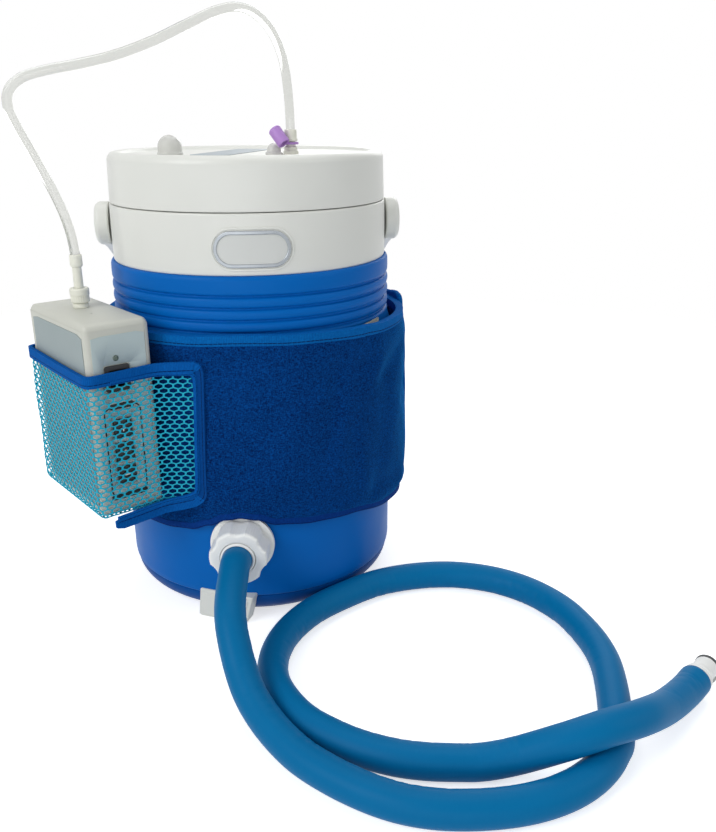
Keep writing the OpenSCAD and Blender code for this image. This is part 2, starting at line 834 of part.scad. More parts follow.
module front_foot() {
    foot_t = 12;
    grow = 0.3;
    color("whitesmoke") difference() {
        rotate([0, 0, foot_az]) translate([foot_face - foot_t, 0, 0])
            rotate([90, 0, 90]) linear_extrude(foot_t)
                translate([foot_shift, foot_h / 2]) round_rect(foot_w, foot_h, 3.5);
        rotate_extrude() polygon(concat(
            [[0, -1], [stand_r + grow, -1]], base_outline(grow),
            [[barrel_r + grow, base_h], [barrel_r + grow, foot_h + 5],
             [0, foot_h + 5]]
        ));
    }
}

// ---- wrap ----
// How far the wrap stands off the barrel, by direction
function wrap_off(a) = wrap_bow * exp(-pow((a - bow_at) / bow_spread, 2));
function wrap_line(r, a0, a1, step) =
    [for (a = [a0 : step : a1]) (r + wrap_off(a)) * [cos(a), sin(a)]];

module wrap_band(r_in, r_out, h) {
    linear_extrude(h) difference() {
        polygon(wrap_line(r_out, -180, 180 - wrap_step, wrap_step));
        polygon(wrap_line(r_in, -180, 180 - wrap_step, wrap_step));
    }
}

module wrap_arc(r_in, r_out, a0, a1, h) {
    linear_extrude(h) polygon(concat(
        wrap_line(r_out, a0, a1, wrap_step),
        wrap_line(r_in, a1, a0, -wrap_step)
    ));
}

// The wrap gives way round the outlet
module outlet_notch() {
    at_outlet(barrel_r - 10) cylinder(r = flange_r + notch_gap, h = 40);
}

module wrap_sleeve() {
    color("navy") difference() {
        translate([0, 0, wrap_z0 + tape_w])
            wrap_band(wrap_in, wrap_out, wrap_h - 2 * tape_w);
        outlet_notch();
    }
}

module wrap_tape_top() {
    color("mediumblue") translate([0, 0, wrap_z1 - tape_w])
        wrap_band(wrap_in + 0.2, wrap_out - 0.2, tape_w);
}

module wrap_tape_bottom() {
    color("mediumblue") difference() {
        translate([0, 0, wrap_z0]) wrap_band(wrap_in, wrap_out - 0.2, tape_w);
        outlet_notch();
    }
}

module hook_strip() {
    color("darkgray") translate([0, 0, wrap_z1 - hook_w])
        wrap_arc(wrap_in - 1.2, wrap_in - 0.1, hook_from, hook_to, hook_w);
}

module wrap_overlap() {
    over = wrap_out + 0.1;
    color("navy") {
        translate([0, 0, wrap_z0 + 2])
            wrap_arc(over, over + overlap_t, overlap_from, overlap_to, wrap_h - 4);
        translate([0, 0, wrap_z1 - 3])
            wrap_arc(over, over + overlap_t, overlap_from, flap_to, flap_h);
    }
}

// ---- pocket ----
// The pocket's plan, from the seam on the wrap round the box to its rear side
pocket_line = [
    [seam_x, seam_y], [0, net_side - net_t / 2],
    [net_out - net_t / 2, net_side - net_t / 2],
    [net_out - net_t / 2, -net_side + net_t / 2],
    [-9.6, -net_side + net_t / 2]
];

module strip_2d(a, b, w) {
    d = b - a;
    translate(a) rotate(atan2(d[1], d[0])) translate([0, -w / 2])
        square([norm(d), w]);
}

// A flat net of six sided meshes in the XY plane, with plain edges
module net_panel(w, h) {
    pitch_y = mesh_w * 0.866;
    hole_r = (mesh_w - strand_w) / 2 / 0.866;
    cols = floor((w - 3) / mesh_w);
    rows = floor((h - 3) / pitch_y);
    x0 = (w - (cols - 1) * mesh_w) / 2;
    y0 = (h - (rows - 1) * pitch_y) / 2;
    linear_extrude(net_t) difference() {
        square([w, h]);
        for (r = [0 : rows - 1], c = [0 : cols - 1 - (r % 2)])
            translate([x0 + (c + (r % 2) / 2) * mesh_w, y0 + r * pitch_y])
                rotate(30) circle(r = hole_r, $fn = 6);
    }
}

// A net panel that stands up along the line from a to b
module standing_net(a, b) {
    d = b - a;
    at_box() translate([a[0], a[1], 0]) rotate([0, 0, atan2(d[1], d[0])])
        translate([0, net_t / 2, 0]) rotate([90, 0, 0]) net_panel(norm(d), pocket_h);
}

corner_gap = net_t / 2 + 0.05;
corner_less = 0.3;

module pocket_net_front() {
    color("darkturquoise") standing_net(
        pocket_line[3] + [0, corner_gap], pocket_line[2] - [0, corner_gap]);
}

module pocket_net_side() {
    color("darkturquoise") standing_net(
        pocket_line[1] + [net_t, 0], pocket_line[2] + [net_t / 2, 0]);
}

module pocket_net_seam() {
    run = unit(pocket_line[0] - pocket_line[1]);
    color("darkturquoise") standing_net(
        pocket_line[1] + run * net_t, pocket_line[0] - run * 3);
}

module pocket_net_rear() {
    color("darkturquoise") standing_net(
        pocket_line[4], pocket_line[3] + [net_t / 2, 0]);
}

module pocket_floor() {
    inner_y = net_side - net_t;
    color("darkturquoise") at_box() translate([2, -inner_y + 0.2, -net_t - 0.3])
        cube([net_out - net_t - 2.2, 2 * inner_y - 0.4, net_t]);
}

module pocket_tape_rim() {
    color("blue") difference() {
        at_box() translate([0, 0, pocket_h]) linear_extrude(pocket_tape_w) {
            for (i = [0 : len(pocket_line) - 2])
                strip_2d(pocket_line[i], pocket_line[i + 1], pocket_tape_t);
            for (i = [1 : len(pocket_line) - 2])
                translate(pocket_line[i]) circle(d = pocket_tape_t - corner_less);
        }
        cylinder(r = wrap_out + 0.2, h = barrel_top, $fn = 360);
    }
}

// The tape down the pocket's seam and back along its lower hem
module pocket_tape_seam() {
    hem = 8;
    color("blue") difference() {
        at_box() {
            translate([0, 0, -hem])
                linear_extrude(pocket_h + hem - 0.2) {
                    translate(pocket_line[0]) circle(d = 9);
                }
            translate([0, 0, -hem]) linear_extrude(hem - 0.4) {
                strip_2d(pocket_line[0], pocket_line[1] + [1, 2], pocket_tape_t);
                strip_2d(pocket_line[1] + [0, 2], pocket_line[2] + [-10, 3],
                    pocket_tape_t);
            }
        }
        cylinder(r = wrap_out + 0.2, h = barrel_top, $fn = 360);
    }
}

// ---- pump box ----
module box_housing() {
    inner = box_wall;
    color("lightgray") at_box() difference() {
        translate([box_d / 2, 0, 0]) soft_block(box_d, box_w, box_h, box_round);
        translate([box_d / 2 - inner, 0, inner])
            linear_extrude(box_h - 2 * inner)
                round_rect(box_d, box_w - 2 * inner, box_round - inner);
        translate([-5, -box_w, -1])
            cube([5 + cover_t + cover_gap, 2 * box_w, box_h + 2]);
        for (i = [-1 : 1])
            translate([key_x - key_s / 2, box_w / 2 - 6,
                key_mid_z + i * key_pitch - key_s / 2]) cube([key_s, 12, key_s]);
        translate([key_x - rocker_w / 2, box_w / 2 - 6, rocker_z - rocker_h / 2])
            cube([rocker_w, 12, rocker_h]);
        translate([key_x, box_w / 2 - 6, lens_z]) rotate([-90, 0, 0])
            cylinder(r = lens_r, h = 12);
        translate([port_x, port_off, box_h - 6]) cylinder(r = port_hole_r, h = 12);
        translate([port_x + pin_hole_off[0], port_off + pin_hole_off[1], box_h - 6])
            cylinder(r = pin_hole_r, h = 12);
        translate([box_d / 2, -box_w / 2 - 2, jack_z]) rotate([-90, 0, 0])
            cylinder(r = socket_body_r + 0.1, h = 8);
    }
}

module box_back_cover() {
    color("gray") at_box() difference() {
        intersection() {
            translate([box_d / 2, 0, 0]) soft_block(box_d, box_w, box_h, box_round);
            translate([-1, -box_w, -1]) cube([1 + cover_t, 2 * box_w, box_h + 2]);
        }
        for (y = [-1, 1], z = [0, 1])
            translate([-1, y * (box_w / 2 - screw_in), z ? box_h - screw_in : screw_in])
                rotate([0, 90, 0]) cylinder(r = 1.7, h = 12);
    }
}

module box_side_plate() {
    color("lightsteelblue") at_box() translate([box_d, side_shift, box_h / 2])
        rotate([90, 0, 90]) linear_extrude(plate_t) round_rect(
            box_w - 2 * side_inset, box_h - 2 * side_inset_z, 2);
}

module keypad_plate() {
    color("lightsteelblue") at_box()
        translate([key_x - keypad_shift, box_w / 2, box_h / 2])
        rotate([90, 0, 180]) difference() {
            linear_extrude(plate_t)
                round_rect(box_d - 2 * keypad_inset, box_h - 2 * plate_inset, 1.5);
            for (i = [-1 : 1])
                translate([-keypad_shift - key_s / 2, key_mid_z - box_h / 2
                    + i * key_pitch - key_s / 2, -1]) cube([key_s, key_s, 3]);
            translate([-keypad_shift - rocker_w / 2 - 1.2, rocker_z - box_h / 2
                - rocker_h / 2 - 1.2, -1]) cube([rocker_w + 2.4, rocker_h + 2.4, 3]);
            translate([-keypad_shift, lens_z - box_h / 2, -1])
                cylinder(r = lens_r + 0.2, h = 3);
        }
}

// A key stands a little proud of the plate, on a stem inside the box
module key(i) {
    w = key_s - 2 * key_gap;
    color("black") at_box()
        translate([key_x, box_w / 2 + plate_t + key_proud, key_mid_z + i * key_pitch])
            rotate([90, 0, 0]) linear_extrude(key_depth) round_rect(w, w, 1.2);
}

module key_upper() {
    key(1);
}

module key_middle() {
    key(0);
}

module key_lower() {
    key(-1);
}

module rocker_bezel() {
    w = rocker_w;
    h = rocker_h;
    color("black") at_box() translate([key_x, box_w / 2, rocker_z])
        rotate([-90, 0, 0]) difference() {
            union() {
                translate([0, 0, -5]) linear_extrude(6)
                    round_rect(w - 0.4, h - 0.4, 1.5);
                linear_extrude(1) round_rect(w + 2, h + 2, 1.6);
            }
            translate([-w / 2 + 2, -h / 2 + 2, -6]) cube([w - 4, h - 4, 9]);
        }
}

module power_rocker() {
    w = rocker_w - 4.8;
    color("dimgray") at_box() translate([key_x, box_w / 2 - 2.6, rocker_z])
        rotate([-rocker_tilt, 0, 0]) rotate([0, 90, 0]) intersection() {
            cylinder(r = rocker_h / 2 - 2.5, h = w, center = true);
            translate([-rocker_h, -1.2, -w]) cube([2 * rocker_h, 4.2, 2 * w]);
        }
}

module indicator_lens() {
    color("darkseagreen") at_box()
        translate([key_x, box_w / 2 - 3, lens_z]) rotate([-90, 0, 0])
            cylinder(r = lens_r - 0.05, h = 4);
}

module box_port() {
    color("ivory") at_box() translate([port_x, port_off, box_h]) difference() {
        union() {
            cylinder(r = 5.4, h = port_ring_h);
            translate([0, 0, -8]) cylinder(r = 3.4, h = 8 + port_neck_h);
        }
        translate([0, 0, -9]) cylinder(r = 1.6, h = 30);
    }
}

module union_nut() {
    color("ivory") at_box() translate([port_x, port_off, box_h + port_ring_h + 0.4])
        difference() {
            cylinder(r = union_r, h = union_h);
            translate([0, 0, -1]) cylinder(r = 3.7, h = 9);
            translate([0, 0, 2]) cylinder(r = 3.5, h = union_h + 2);
        }
}

module tube_end_box() {
    z0 = box_h + port_neck_h + 0.1;
    color("ivory") at_box() translate([port_x, port_off, z0]) difference() {
        union() {
            cylinder(r = 3.1, h = tube_sleeve_h);
            translate([0, 0, tube_sleeve_h - 8])
                cylinder(r = tube_collar_r - 0.4, h = 8);
        }
        translate([0, 0, -1]) cylinder(r = 1.6, h = tube_sleeve_h + 2);
    }
}

module circuit_board() {
    color("darkgreen") at_box() translate([9, box_w / 2 - board_in, 12])
        cube([box_d - board_trim[0], 1.6, box_h - board_trim[1]]);
}

module battery_pack() {
    color("dimgray") at_box() translate([9, 9 - box_w / 2, box_wall + 0.3])
        cube([box_d - battery_trim[0], box_w - battery_trim[1], battery_h]);
}

module air_pump() {
    color("silver") at_box() translate([port_x, port_off, 0]) {
        motor_z = box_wall + battery_h + 2;
        head_z = motor_z + pump_motor_h;
        outlet_from = head_z + pump_head[2];
        translate([0, 0, motor_z]) cylinder(r = pump_r, h = pump_motor_h);
        translate([-11.5, -13, head_z]) cube(pump_head);
        translate([0, 0, outlet_from])
            cylinder(r = 2.4, h = box_h - 8.6 - outlet_from);
    }
}

module box_screws() {
    color("silver") at_box() for (y = [-1, 1], z = [0, 1])
        translate([0.2, y * (box_w / 2 - screw_in), z ? box_h - screw_in : screw_in])
            rotate([0, 90, 0]) cylinder(r = 1.5, h = 8);
}

module power_socket() {
    color("black") at_box()
        translate([box_d / 2, -box_w / 2 - 0.6, jack_z]) rotate([-90, 0, 0])
            difference() {
                union() {
                    cylinder(r = socket_body_r, h = 12);
                    cylinder(r = socket_body_r + 1, h = 0.6);
                }
                translate([0, 0, -1]) cylinder(r = jack_r, h = 10);
            }
}

barrel_shell();
base_cap();
collar_ring();
vessel_liner();
jug_foam();
badge_ring_frame();
badge_plate();
pivot_pins();
handle();
lid_shell();
lid_plug();
lid_gasket();
lid_foam();
vent_knob();
lid_plate();
check_valve();
port_cap();
air_inlet();
tube_end_lid();
air_tube();
outlet_flange();
outlet_gasket();
inner_nut();
hose_nut();
hose_collet();
hose();
coupling_body();
coupling_ring();
coupling_latch();
front_foot();
wrap_sleeve();
wrap_tape_top();
wrap_tape_bottom();
hook_strip();
wrap_overlap();
pocket_net_front();
pocket_net_side();
pocket_net_seam();
pocket_net_rear();
pocket_floor();
pocket_tape_rim();
pocket_tape_seam();
box_housing();
box_back_cover();
box_side_plate();
keypad_plate();
key_upper();
key_middle();
key_lower();
rocker_bezel();
power_rocker();
indicator_lens();
box_port();
union_nut();
tube_end_box();
circuit_board();
battery_pack();
air_pump();
box_screws();
power_socket();
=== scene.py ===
# %% [markdown]
# # A hot and cold therapy machine
# An insulated water jug wears a felt wrap. A pump box sits in a net pocket on the wrap, a clear
# tube carries air from the box to the lid, and a thick foam covered hose leaves near the floor.
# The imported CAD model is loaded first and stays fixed. It gives every size and place, and the
# pieces made below either dress its nodes with better materials or stand in their places.

# %% Load the frame
import math

import bmesh
import bpy
from mathutils import Matrix, Vector, noise


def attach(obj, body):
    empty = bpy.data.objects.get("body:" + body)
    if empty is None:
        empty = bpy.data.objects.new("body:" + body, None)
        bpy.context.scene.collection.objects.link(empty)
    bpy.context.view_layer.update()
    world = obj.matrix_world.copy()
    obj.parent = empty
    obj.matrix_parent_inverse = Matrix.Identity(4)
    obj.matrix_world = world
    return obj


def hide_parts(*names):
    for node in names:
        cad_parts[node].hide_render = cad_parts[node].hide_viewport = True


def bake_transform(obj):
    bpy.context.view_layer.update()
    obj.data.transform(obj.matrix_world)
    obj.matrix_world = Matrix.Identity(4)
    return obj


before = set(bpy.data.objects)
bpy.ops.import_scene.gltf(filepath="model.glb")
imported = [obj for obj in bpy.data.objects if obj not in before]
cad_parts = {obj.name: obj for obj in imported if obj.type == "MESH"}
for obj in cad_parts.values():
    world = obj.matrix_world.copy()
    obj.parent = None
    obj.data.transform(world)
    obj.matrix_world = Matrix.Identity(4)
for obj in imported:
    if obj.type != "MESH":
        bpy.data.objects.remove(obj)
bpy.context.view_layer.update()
bpy.ops.object.select_all(action="DESELECT")
MM = 0.001
print("nodes in the frame:", len(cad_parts))

# %% [markdown]
# ## The camera
# The camera stands straight in front of the badge, a little above the lid, and looks down. Its
# three turns are written as angles and made into a matrix, because a matrix holds the small
# roll of a hand held camera without any doubt about the order of turns.

# %% Place the camera
EYE, FOCAL_PX, PICTURE_PX = (0, -0.6581, 0.3554), 850, 716
pitch, yaw, roll = (math.radians(a) for a in (19.57, 7.063, -0.189))
ahead = Vector((math.sin(yaw) * math.cos(pitch), math.cos(yaw) * math.cos(pitch), -math.sin(pitch)))
level = Vector((math.cos(yaw), -math.sin(yaw), 0))
over = level.cross(ahead)
right = math.cos(roll) * level + math.sin(roll) * over
above = -math.sin(roll) * level + math.cos(roll) * over
camera_data = bpy.data.cameras.new("camera")
camera_data.sensor_fit = "HORIZONTAL"
camera_data.sensor_width = 36.0
camera_data.lens = 36.0 * FOCAL_PX / PICTURE_PX
camera = bpy.data.objects.new("camera", camera_data)
bpy.context.collection.objects.link(camera)
axes = Matrix((right, above, -ahead)).transposed().to_4x4()
camera.matrix_world = Matrix.Translation(EYE) @ axes
bpy.context.scene.camera = camera
print("lens:", round(camera_data.lens, 2), "mm")

# %% [markdown]
# ## Light, floor and background
# Large soft lamps give the long pale streaks that moulded plastic shows in a studio. The floor
# and the world look white to the camera and in reflections, but light the object at a plain
# level, so that its colours come out as they are written.

# %% Lamps
def soft_lamp(name, place, target, size, power):
    data = bpy.data.lights.new(name, "AREA")
    data.shape = "RECTANGLE"
    data.size, data.size_y = size
    data.energy = power
    lamp = bpy.data.objects.new(name, data)
    bpy.context.collection.objects.link(lamp)
    lamp.location = place
    lamp.rotation_euler = (Vector(target) - Vector(place)).to_track_quat("-Z", "Y").to_euler()


middle = (0.03, -0.08, 0.18)
soft_lamp("key_lamp", (-1.25, -1.0, 1.2), middle, (0.9, 1.1), 15)
soft_lamp("fill_lamp", (1.3, -0.7, 0.9), middle, (0.8, 1.1), 3.6)
soft_lamp("front_lamp", (-0.25, -1.5, 0.3), (0, 0, 0.1), (1.3, 0.5), 3.6)
soft_lamp("top_lamp", (0.1, 0.2, 1.6), middle, (1.2, 1.0), 7.6)
soft_lamp("back_lamp", (0.5, 1.3, 0.9), middle, (1.0, 0.8), 5.4)
print("lamps:", len(bpy.data.lights))

# %% World and floor
WORLD_LIGHT, FLOOR_GLOW = 0.27, 0.64
FADE_FROM, FADE_TO = 0.45, 1.1


def maths(tree, operation, first, second):
    """A Math node in tree. Each value is another node's output or a number."""
    made = tree.nodes.new("ShaderNodeMath")
    made.operation = operation
    for socket, value in zip(made.inputs, (first, second)):
        if isinstance(value, float):
            socket.default_value = value
        else:
            tree.links.new(value, socket)
    return made.outputs[0]


def plain_rays(tree):
    """One for rays that come from the camera, from a mirror-like skin or through clear plastic."""
    seen = tree.nodes.new("ShaderNodeLightPath").outputs
    total = maths(tree, "MAXIMUM", seen["Is Camera Ray"], seen["Is Glossy Ray"])
    return maths(tree, "MAXIMUM", total, seen["Is Transmission Ray"])


def mixed(tree, share, first, second, surface):
    """Mixes two shaders by share and sends the result to surface."""
    made = tree.nodes.new("ShaderNodeMixShader")
    for socket, value in zip(made.inputs, (share, first, second)):
        tree.links.new(value, socket)
    tree.links.new(made.outputs[0], surface)


world = bpy.data.worlds.new("studio")
bpy.context.scene.world = world
world.use_nodes = True
sky = world.node_tree
dim, white = sky.nodes["Background"], sky.nodes.new("ShaderNodeBackground")
for light, tint, strength in ((dim, (0.94, 0.97, 1.0, 1), WORLD_LIGHT), (white, (1, 1, 1, 1), 1.0)):
    light.inputs["Color"].default_value = tint
    light.inputs["Strength"].default_value = strength
mixed(sky, plain_rays(sky), dim.outputs[0], white.outputs[0], sky.nodes["World Output"].inputs["Surface"])

bpy.ops.mesh.primitive_plane_add(size=14, location=(0, 0, -0.0002))
floor = bpy.context.object
floor.name = "floor"
floor_paint = bpy.data.materials.new("floor_white")
floor_paint.use_nodes = True
paint = floor_paint.node_tree
matt = paint.nodes["Principled BSDF"]
for name, value in (("Base Color", (0.86, 0.87, 0.88, 1)), ("Roughness", 0.9),
                    ("Specular IOR Level", 0.1), ("Emission Color", (1, 1, 1, 1))):
    matt.inputs[name].default_value = value
any_ray = plain_rays(paint)
paint.links.new(maths(paint, "MULTIPLY", any_ray, FLOOR_GLOW), matt.inputs["Emission Strength"])
far = paint.nodes.new("ShaderNodeVectorMath")
far.operation = "LENGTH"
paint.links.new(paint.nodes.new("ShaderNodeTexCoord").outputs["Object"], far.inputs[0])
fade = paint.nodes.new("ShaderNodeMapRange")
fade.inputs["From Min"].default_value, fade.inputs["From Max"].default_value = FADE_FROM, FADE_TO
paint.links.new(far.outputs["Value"], fade.inputs["Value"])
share = maths(paint, "MULTIPLY", fade.outputs[0], any_ray)
plain_white = paint.nodes.new("ShaderNodeEmission")
mixed(paint, share, matt.outputs[0], plain_white.outputs[0], paint.nodes["Material Output"].inputs["Surface"])
floor.data.materials.append(floor_paint)
bpy.context.scene.view_settings.view_transform = "Standard"
print("floor and world are set")

# %% [markdown]
# ## Routes of the hose and the tube
# A cord is one smooth curve through chosen points. The points below are those of the CAD model,
# in metres. Points at equal steps along the curve keep the rings of the tube, and the fine
# wrinkles on it, evenly spaced.

# %% Route points
HOSE_POINTS = [
    (-0.019, -0.130, 0.0645), (-0.021, -0.143, 0.0645), (-0.024, -0.178, 0.0505),
    (-0.017, -0.2095, 0.0275), (-0.006, -0.234, 0.0165), (0.012, -0.262, 0.0115),
    (0.033, -0.284, 0.0103), (0.055, -0.301, 0.0103), (0.076, -0.311, 0.0103),
    (0.100, -0.316, 0.0103), (0.128, -0.3165, 0.0103), (0.153, -0.3115, 0.0103),
    (0.1745, -0.301, 0.0103), (0.1915, -0.2855, 0.0103), (0.203, -0.266, 0.0103),
    (0.222, -0.202, 0.0103), (0.2195, -0.151, 0.0103), (0.205, -0.117, 0.0103),
    (0.182, -0.093, 0.0103), (0.152, -0.079, 0.0103), (0.121, -0.076, 0.0103),
    (0.088, -0.082, 0.0103), (0.059, -0.097, 0.0103), (0.032, -0.117, 0.0103),
    (0.012, -0.144, 0.0103), (0.0025, -0.1735, 0.0103), (0.004, -0.2025, 0.0103),
    (0.018, -0.2335, 0.0103), (0.040, -0.256, 0.0103), (0.062, -0.270, 0.0103),
    (0.084, -0.278, 0.0103), (0.1105, -0.2825, 0.0103), (0.1325, -0.2855, 0.0145),
    (0.161, -0.2905, 0.026), (0.1855, -0.289, 0.0315), (0.211, -0.279, 0.028),
    (0.236, -0.2595, 0.0175), (0.258, -0.241, 0.0118), (0.271, -0.230, 0.0113),
]
TUBE_POINTS = [
    (0.0313, -0.020, 0.341), (0.0312, -0.0205, 0.354), (0.030, -0.023, 0.373),
    (0.027, -0.026, 0.392), (0.020, -0.030, 0.408), (0.010, -0.033, 0.418),
    (-0.002, -0.035, 0.422), (-0.017, -0.038, 0.419), (-0.036, -0.042, 0.4105),
    (-0.058, -0.048, 0.400), (-0.082, -0.055, 0.391), (-0.104, -0.061, 0.3855),
    (-0.122, -0.065, 0.382), (-0.137, -0.067, 0.3775), (-0.146, -0.067, 0.370),
    (-0.1479, -0.0665, 0.360), (-0.1436, -0.0655, 0.347), (-0.1363, -0.0642, 0.3301),
    (-0.1284, -0.0636, 0.3114), (-0.1222, -0.0637, 0.294), (-0.119, -0.0639, 0.280),
    (-0.1177, -0.0639, 0.267),
]


def way_along(points):
    """The way from the first point to each of the points."""
    way = [0.0]
    for p, q in zip(points, points[1:]):
        way.append(way[-1] + (Vector(q) - Vector(p)).length)
    return way


def smooth_route(points, radius, step):
    """Points at equal steps on the curve through the given points, kept off the floor."""
    points = [Vector(p) for p in points]
    ends = [2 * points[0] - points[1]] + points + [2 * points[-1] - points[-2]]
    fine = []
    for a, b, c, d in zip(ends, ends[1:], ends[2:], ends[3:]):
        for k in range(24):
            t = k / 24
            p = 0.5 * (2 * b + (c - a) * t + (2 * a - 5 * b + 4 * c - d) * t * t
                       + (3 * b - a - 3 * c + d) * t ** 3)
            p.z = max(p.z, radius)
            fine.append(p)
    fine.append(points[-1])
    way = way_along(fine)
    count = round(way[-1] / step)
    route, i = [], 0
    for k in range(count + 1):
        want = way[-1] * k / count
        while i < len(fine) - 2 and way[i + 1] < want:
            i += 1
        share = (want - way[i]) / max(way[i + 1] - way[i], 1e-9)
        route.append(fine[i].lerp(fine[i + 1], min(max(share, 0), 1)))
    return route, way[-1]


HOSE_R, HOSE_STEP = 0.0103, 0.00115
TUBE_R, TUBE_STEP = 0.0032, 0.002
hose_route, hose_length = smooth_route(HOSE_POINTS, HOSE_R, HOSE_STEP)
tube_route, tube_length = smooth_route(TUBE_POINTS, TUBE_R, TUBE_STEP)
print("hose", round(hose_length, 3), "m, tube", round(tube_length, 3), "m")

# %% [markdown]
# ## A tube swept along a route
# Rings of points are carried along the route without twist: each ring's side direction is the
# last one's, made square to the new direction. The mesh gets its own UV map, with U along the
# length in metres and V round it, so that wrinkles can follow the hose wherever it bends.

# %% Sweep helper
def carried_frames(route):
    """For each point of the route: the point, the direction there and two square to it."""
    frames = []
    side = None
    for i, p in enumerate(route):
        run = (route[min(i + 1, len(route) - 1)] - route[max(i - 1, 0)]).normalized()
        if side is None:
            side = run.cross(Vector((0, 0, 1)) if abs(run.z) < 0.9 else Vector((0, 1, 0)))
        side = (side - run * side.dot(run)).normalized()
        frames.append((p, run, side, run.cross(side)))
    return frames


def skinned(name, made, rings, along, around, closed=False):
    """Joins rings of points to one skin, with its ends closed, or its last ring tied to its first.
    Its UV map has along as U, from ring to ring, and around as V, from point to point of a ring."""
    uv = made.loops.layers.uv.new("along")
    count, sides = len(rings), len(rings[0])
    for i in range(count if closed else count - 1):
        here, after = rings[i], rings[(i + 1) % count]
        for k in range(sides):
            n = (k + 1) % sides
            face = made.faces.new((here[k], here[n], after[n], after[k]))
            for loop, (a, b) in zip(face.loops, ((i, k), (i, k + 1), (i + 1, k + 1), (i + 1, k))):
                loop[uv].uv = (along[a], around[b])
    if not closed:
        made.faces.new(rings[0][::-1])
        made.faces.new(rings[-1])
    bmesh.ops.recalc_face_normals(made, faces=made.faces)
    mesh = bpy.data.meshes.new(name)
    made.to_mesh(mesh)
    made.free()
    piece = bpy.data.objects.new(name, mesh)
    bpy.context.collection.objects.link(piece)
    return piece


def swept(name, route, radius, sides):
    """radius is a function of ring number and outward direction."""
    made = bmesh.new()
    rings = []
    for i, (p, run, side, other) in enumerate(carried_frames(route)):
        ring = []
        for k in range(sides):
            angle = 2 * math.pi * k / sides
            out = math.cos(angle) * side + math.sin(angle) * other
            ring.append(made.verts.new(p + out * radius(i, out)))
        rings.append(ring)
    step = (route[1] - route[0]).length
    piece = skinned(name, made, rings, [i * step for i in range(len(rings))],
                    [k / sides for k in range(sides + 1)])
    for face in piece.data.polygons:
        face.use_smooth = len(face.vertices) == 4
    return piece


# %% [markdown]
# ## The insulated hose
# The hose is a soft foam sleeve over a water tube. Where it bends, the skin on the inner side
# is pressed together and folds into fine cross wrinkles. Their depth follows the bend: the
# turn of the route at each ring tells how tight it is and which side is the inner one.

# %% Hose with pressed wrinkles
def turning(route, i, reach=14):
    """Which way the route turns at point i, as a vector whose length is the bend in 1/m."""
    a = route[max(i - reach, 0)]
    b = route[min(i + reach, len(route) - 1)]
    p = route[i]
    return ((a - p).normalized() + (b - p).normalized()) / max((b - a).length / 2, 1e-6)


turns = [turning(hose_route, i) for i in range(len(hose_route))]
TIGHT_BEND, FOLD_DEPTH, UNEVEN = 9.0, 0.00042, 0.00010


def hose_radius(i, out):
    pressed = min(max(turns[i].dot(out), 0.0) / TIGHT_BEND, 1.0)
    at = i * HOSE_STEP
    p = Vector((at * 190, out.x * 0.7 + 3, out.y * 0.7 + out.z))
    folds = noise.noise(p) + 0.6 * noise.noise(p * 2.3)
    calm = noise.noise(Vector((at * 12, out.x, out.y + 5 * out.z))) * UNEVEN
    return HOSE_R + calm - FOLD_DEPTH * pressed * max(folds, 0) ** 0.8


hose = swept("foam_hose", hose_route, hose_radius, 44)
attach(hose, "jug")
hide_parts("hose")
hose_route[::12] + [hose_route[-1]]
print("hose faces:", len(hose.data.polygons))

# %% [markdown]
# ## The clear air tube
# The tube is swept as one solid rod of clear plastic. Its edges bend the light and look white,
# which gives the two bright lines that a clear tube shows.

# %% Air tube
air_tube = swept("clear_air_tube", tube_route, lambda i, out: TUBE_R, 24)
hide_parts("air_tube")
tube_route[::6] + [tube_route[-1]]
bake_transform(air_tube)
print("tube faces:", len(air_tube.data.polygons))

# %% [markdown]
# ## Writing materials as sums
# A material is a web of nodes. Here one small class holds a node's output and lets it be added,
# multiplied and so on, so that a formula in Python makes its Math nodes. A second class owns the
# material and makes every other node with one method.

# %% Wires and finishes
class Wire:
    """A node's output that can stand in a sum, as in mask * 0.3 + 1."""

    def __init__(self, finish, socket):
        self.finish, self.socket = finish, socket

    def maths(self, operation, other):
        return self.finish.node("ShaderNodeMath", {"operation": operation}, {0: self, 1: other})

    def __add__(self, other): return self.maths("ADD", other)
    def __sub__(self, other): return self.maths("SUBTRACT", other)
    def __mul__(self, other): return self.maths("MULTIPLY", other)
    def __truediv__(self, other): return self.maths("DIVIDE", other)
    def __gt__(self, other): return self.maths("GREATER_THAN", other)
    def __lt__(self, other): return self.maths("LESS_THAN", other)
    def __mod__(self, other): return self.maths("FLOORED_MODULO", other)
    __radd__, __rmul__ = __add__, __mul__

    def sine(self): return self.finish.node("ShaderNodeMath", {"operation": "SINE"}, {0: self})
    def size(self): return self.finish.node("ShaderNodeMath", {"operation": "ABSOLUTE"}, {0: self})


def linear(code):
    """A screen colour such as #0F6CC8 as the linear numbers that shaders use."""
    parts = [int(code[i:i + 2], 16) / 255 for i in (1, 3, 5)]
    return tuple(c / 12.92 if c <= 0.04045 else ((c + 0.055) / 1.055) ** 2.4 for c in parts) + (1.0,)


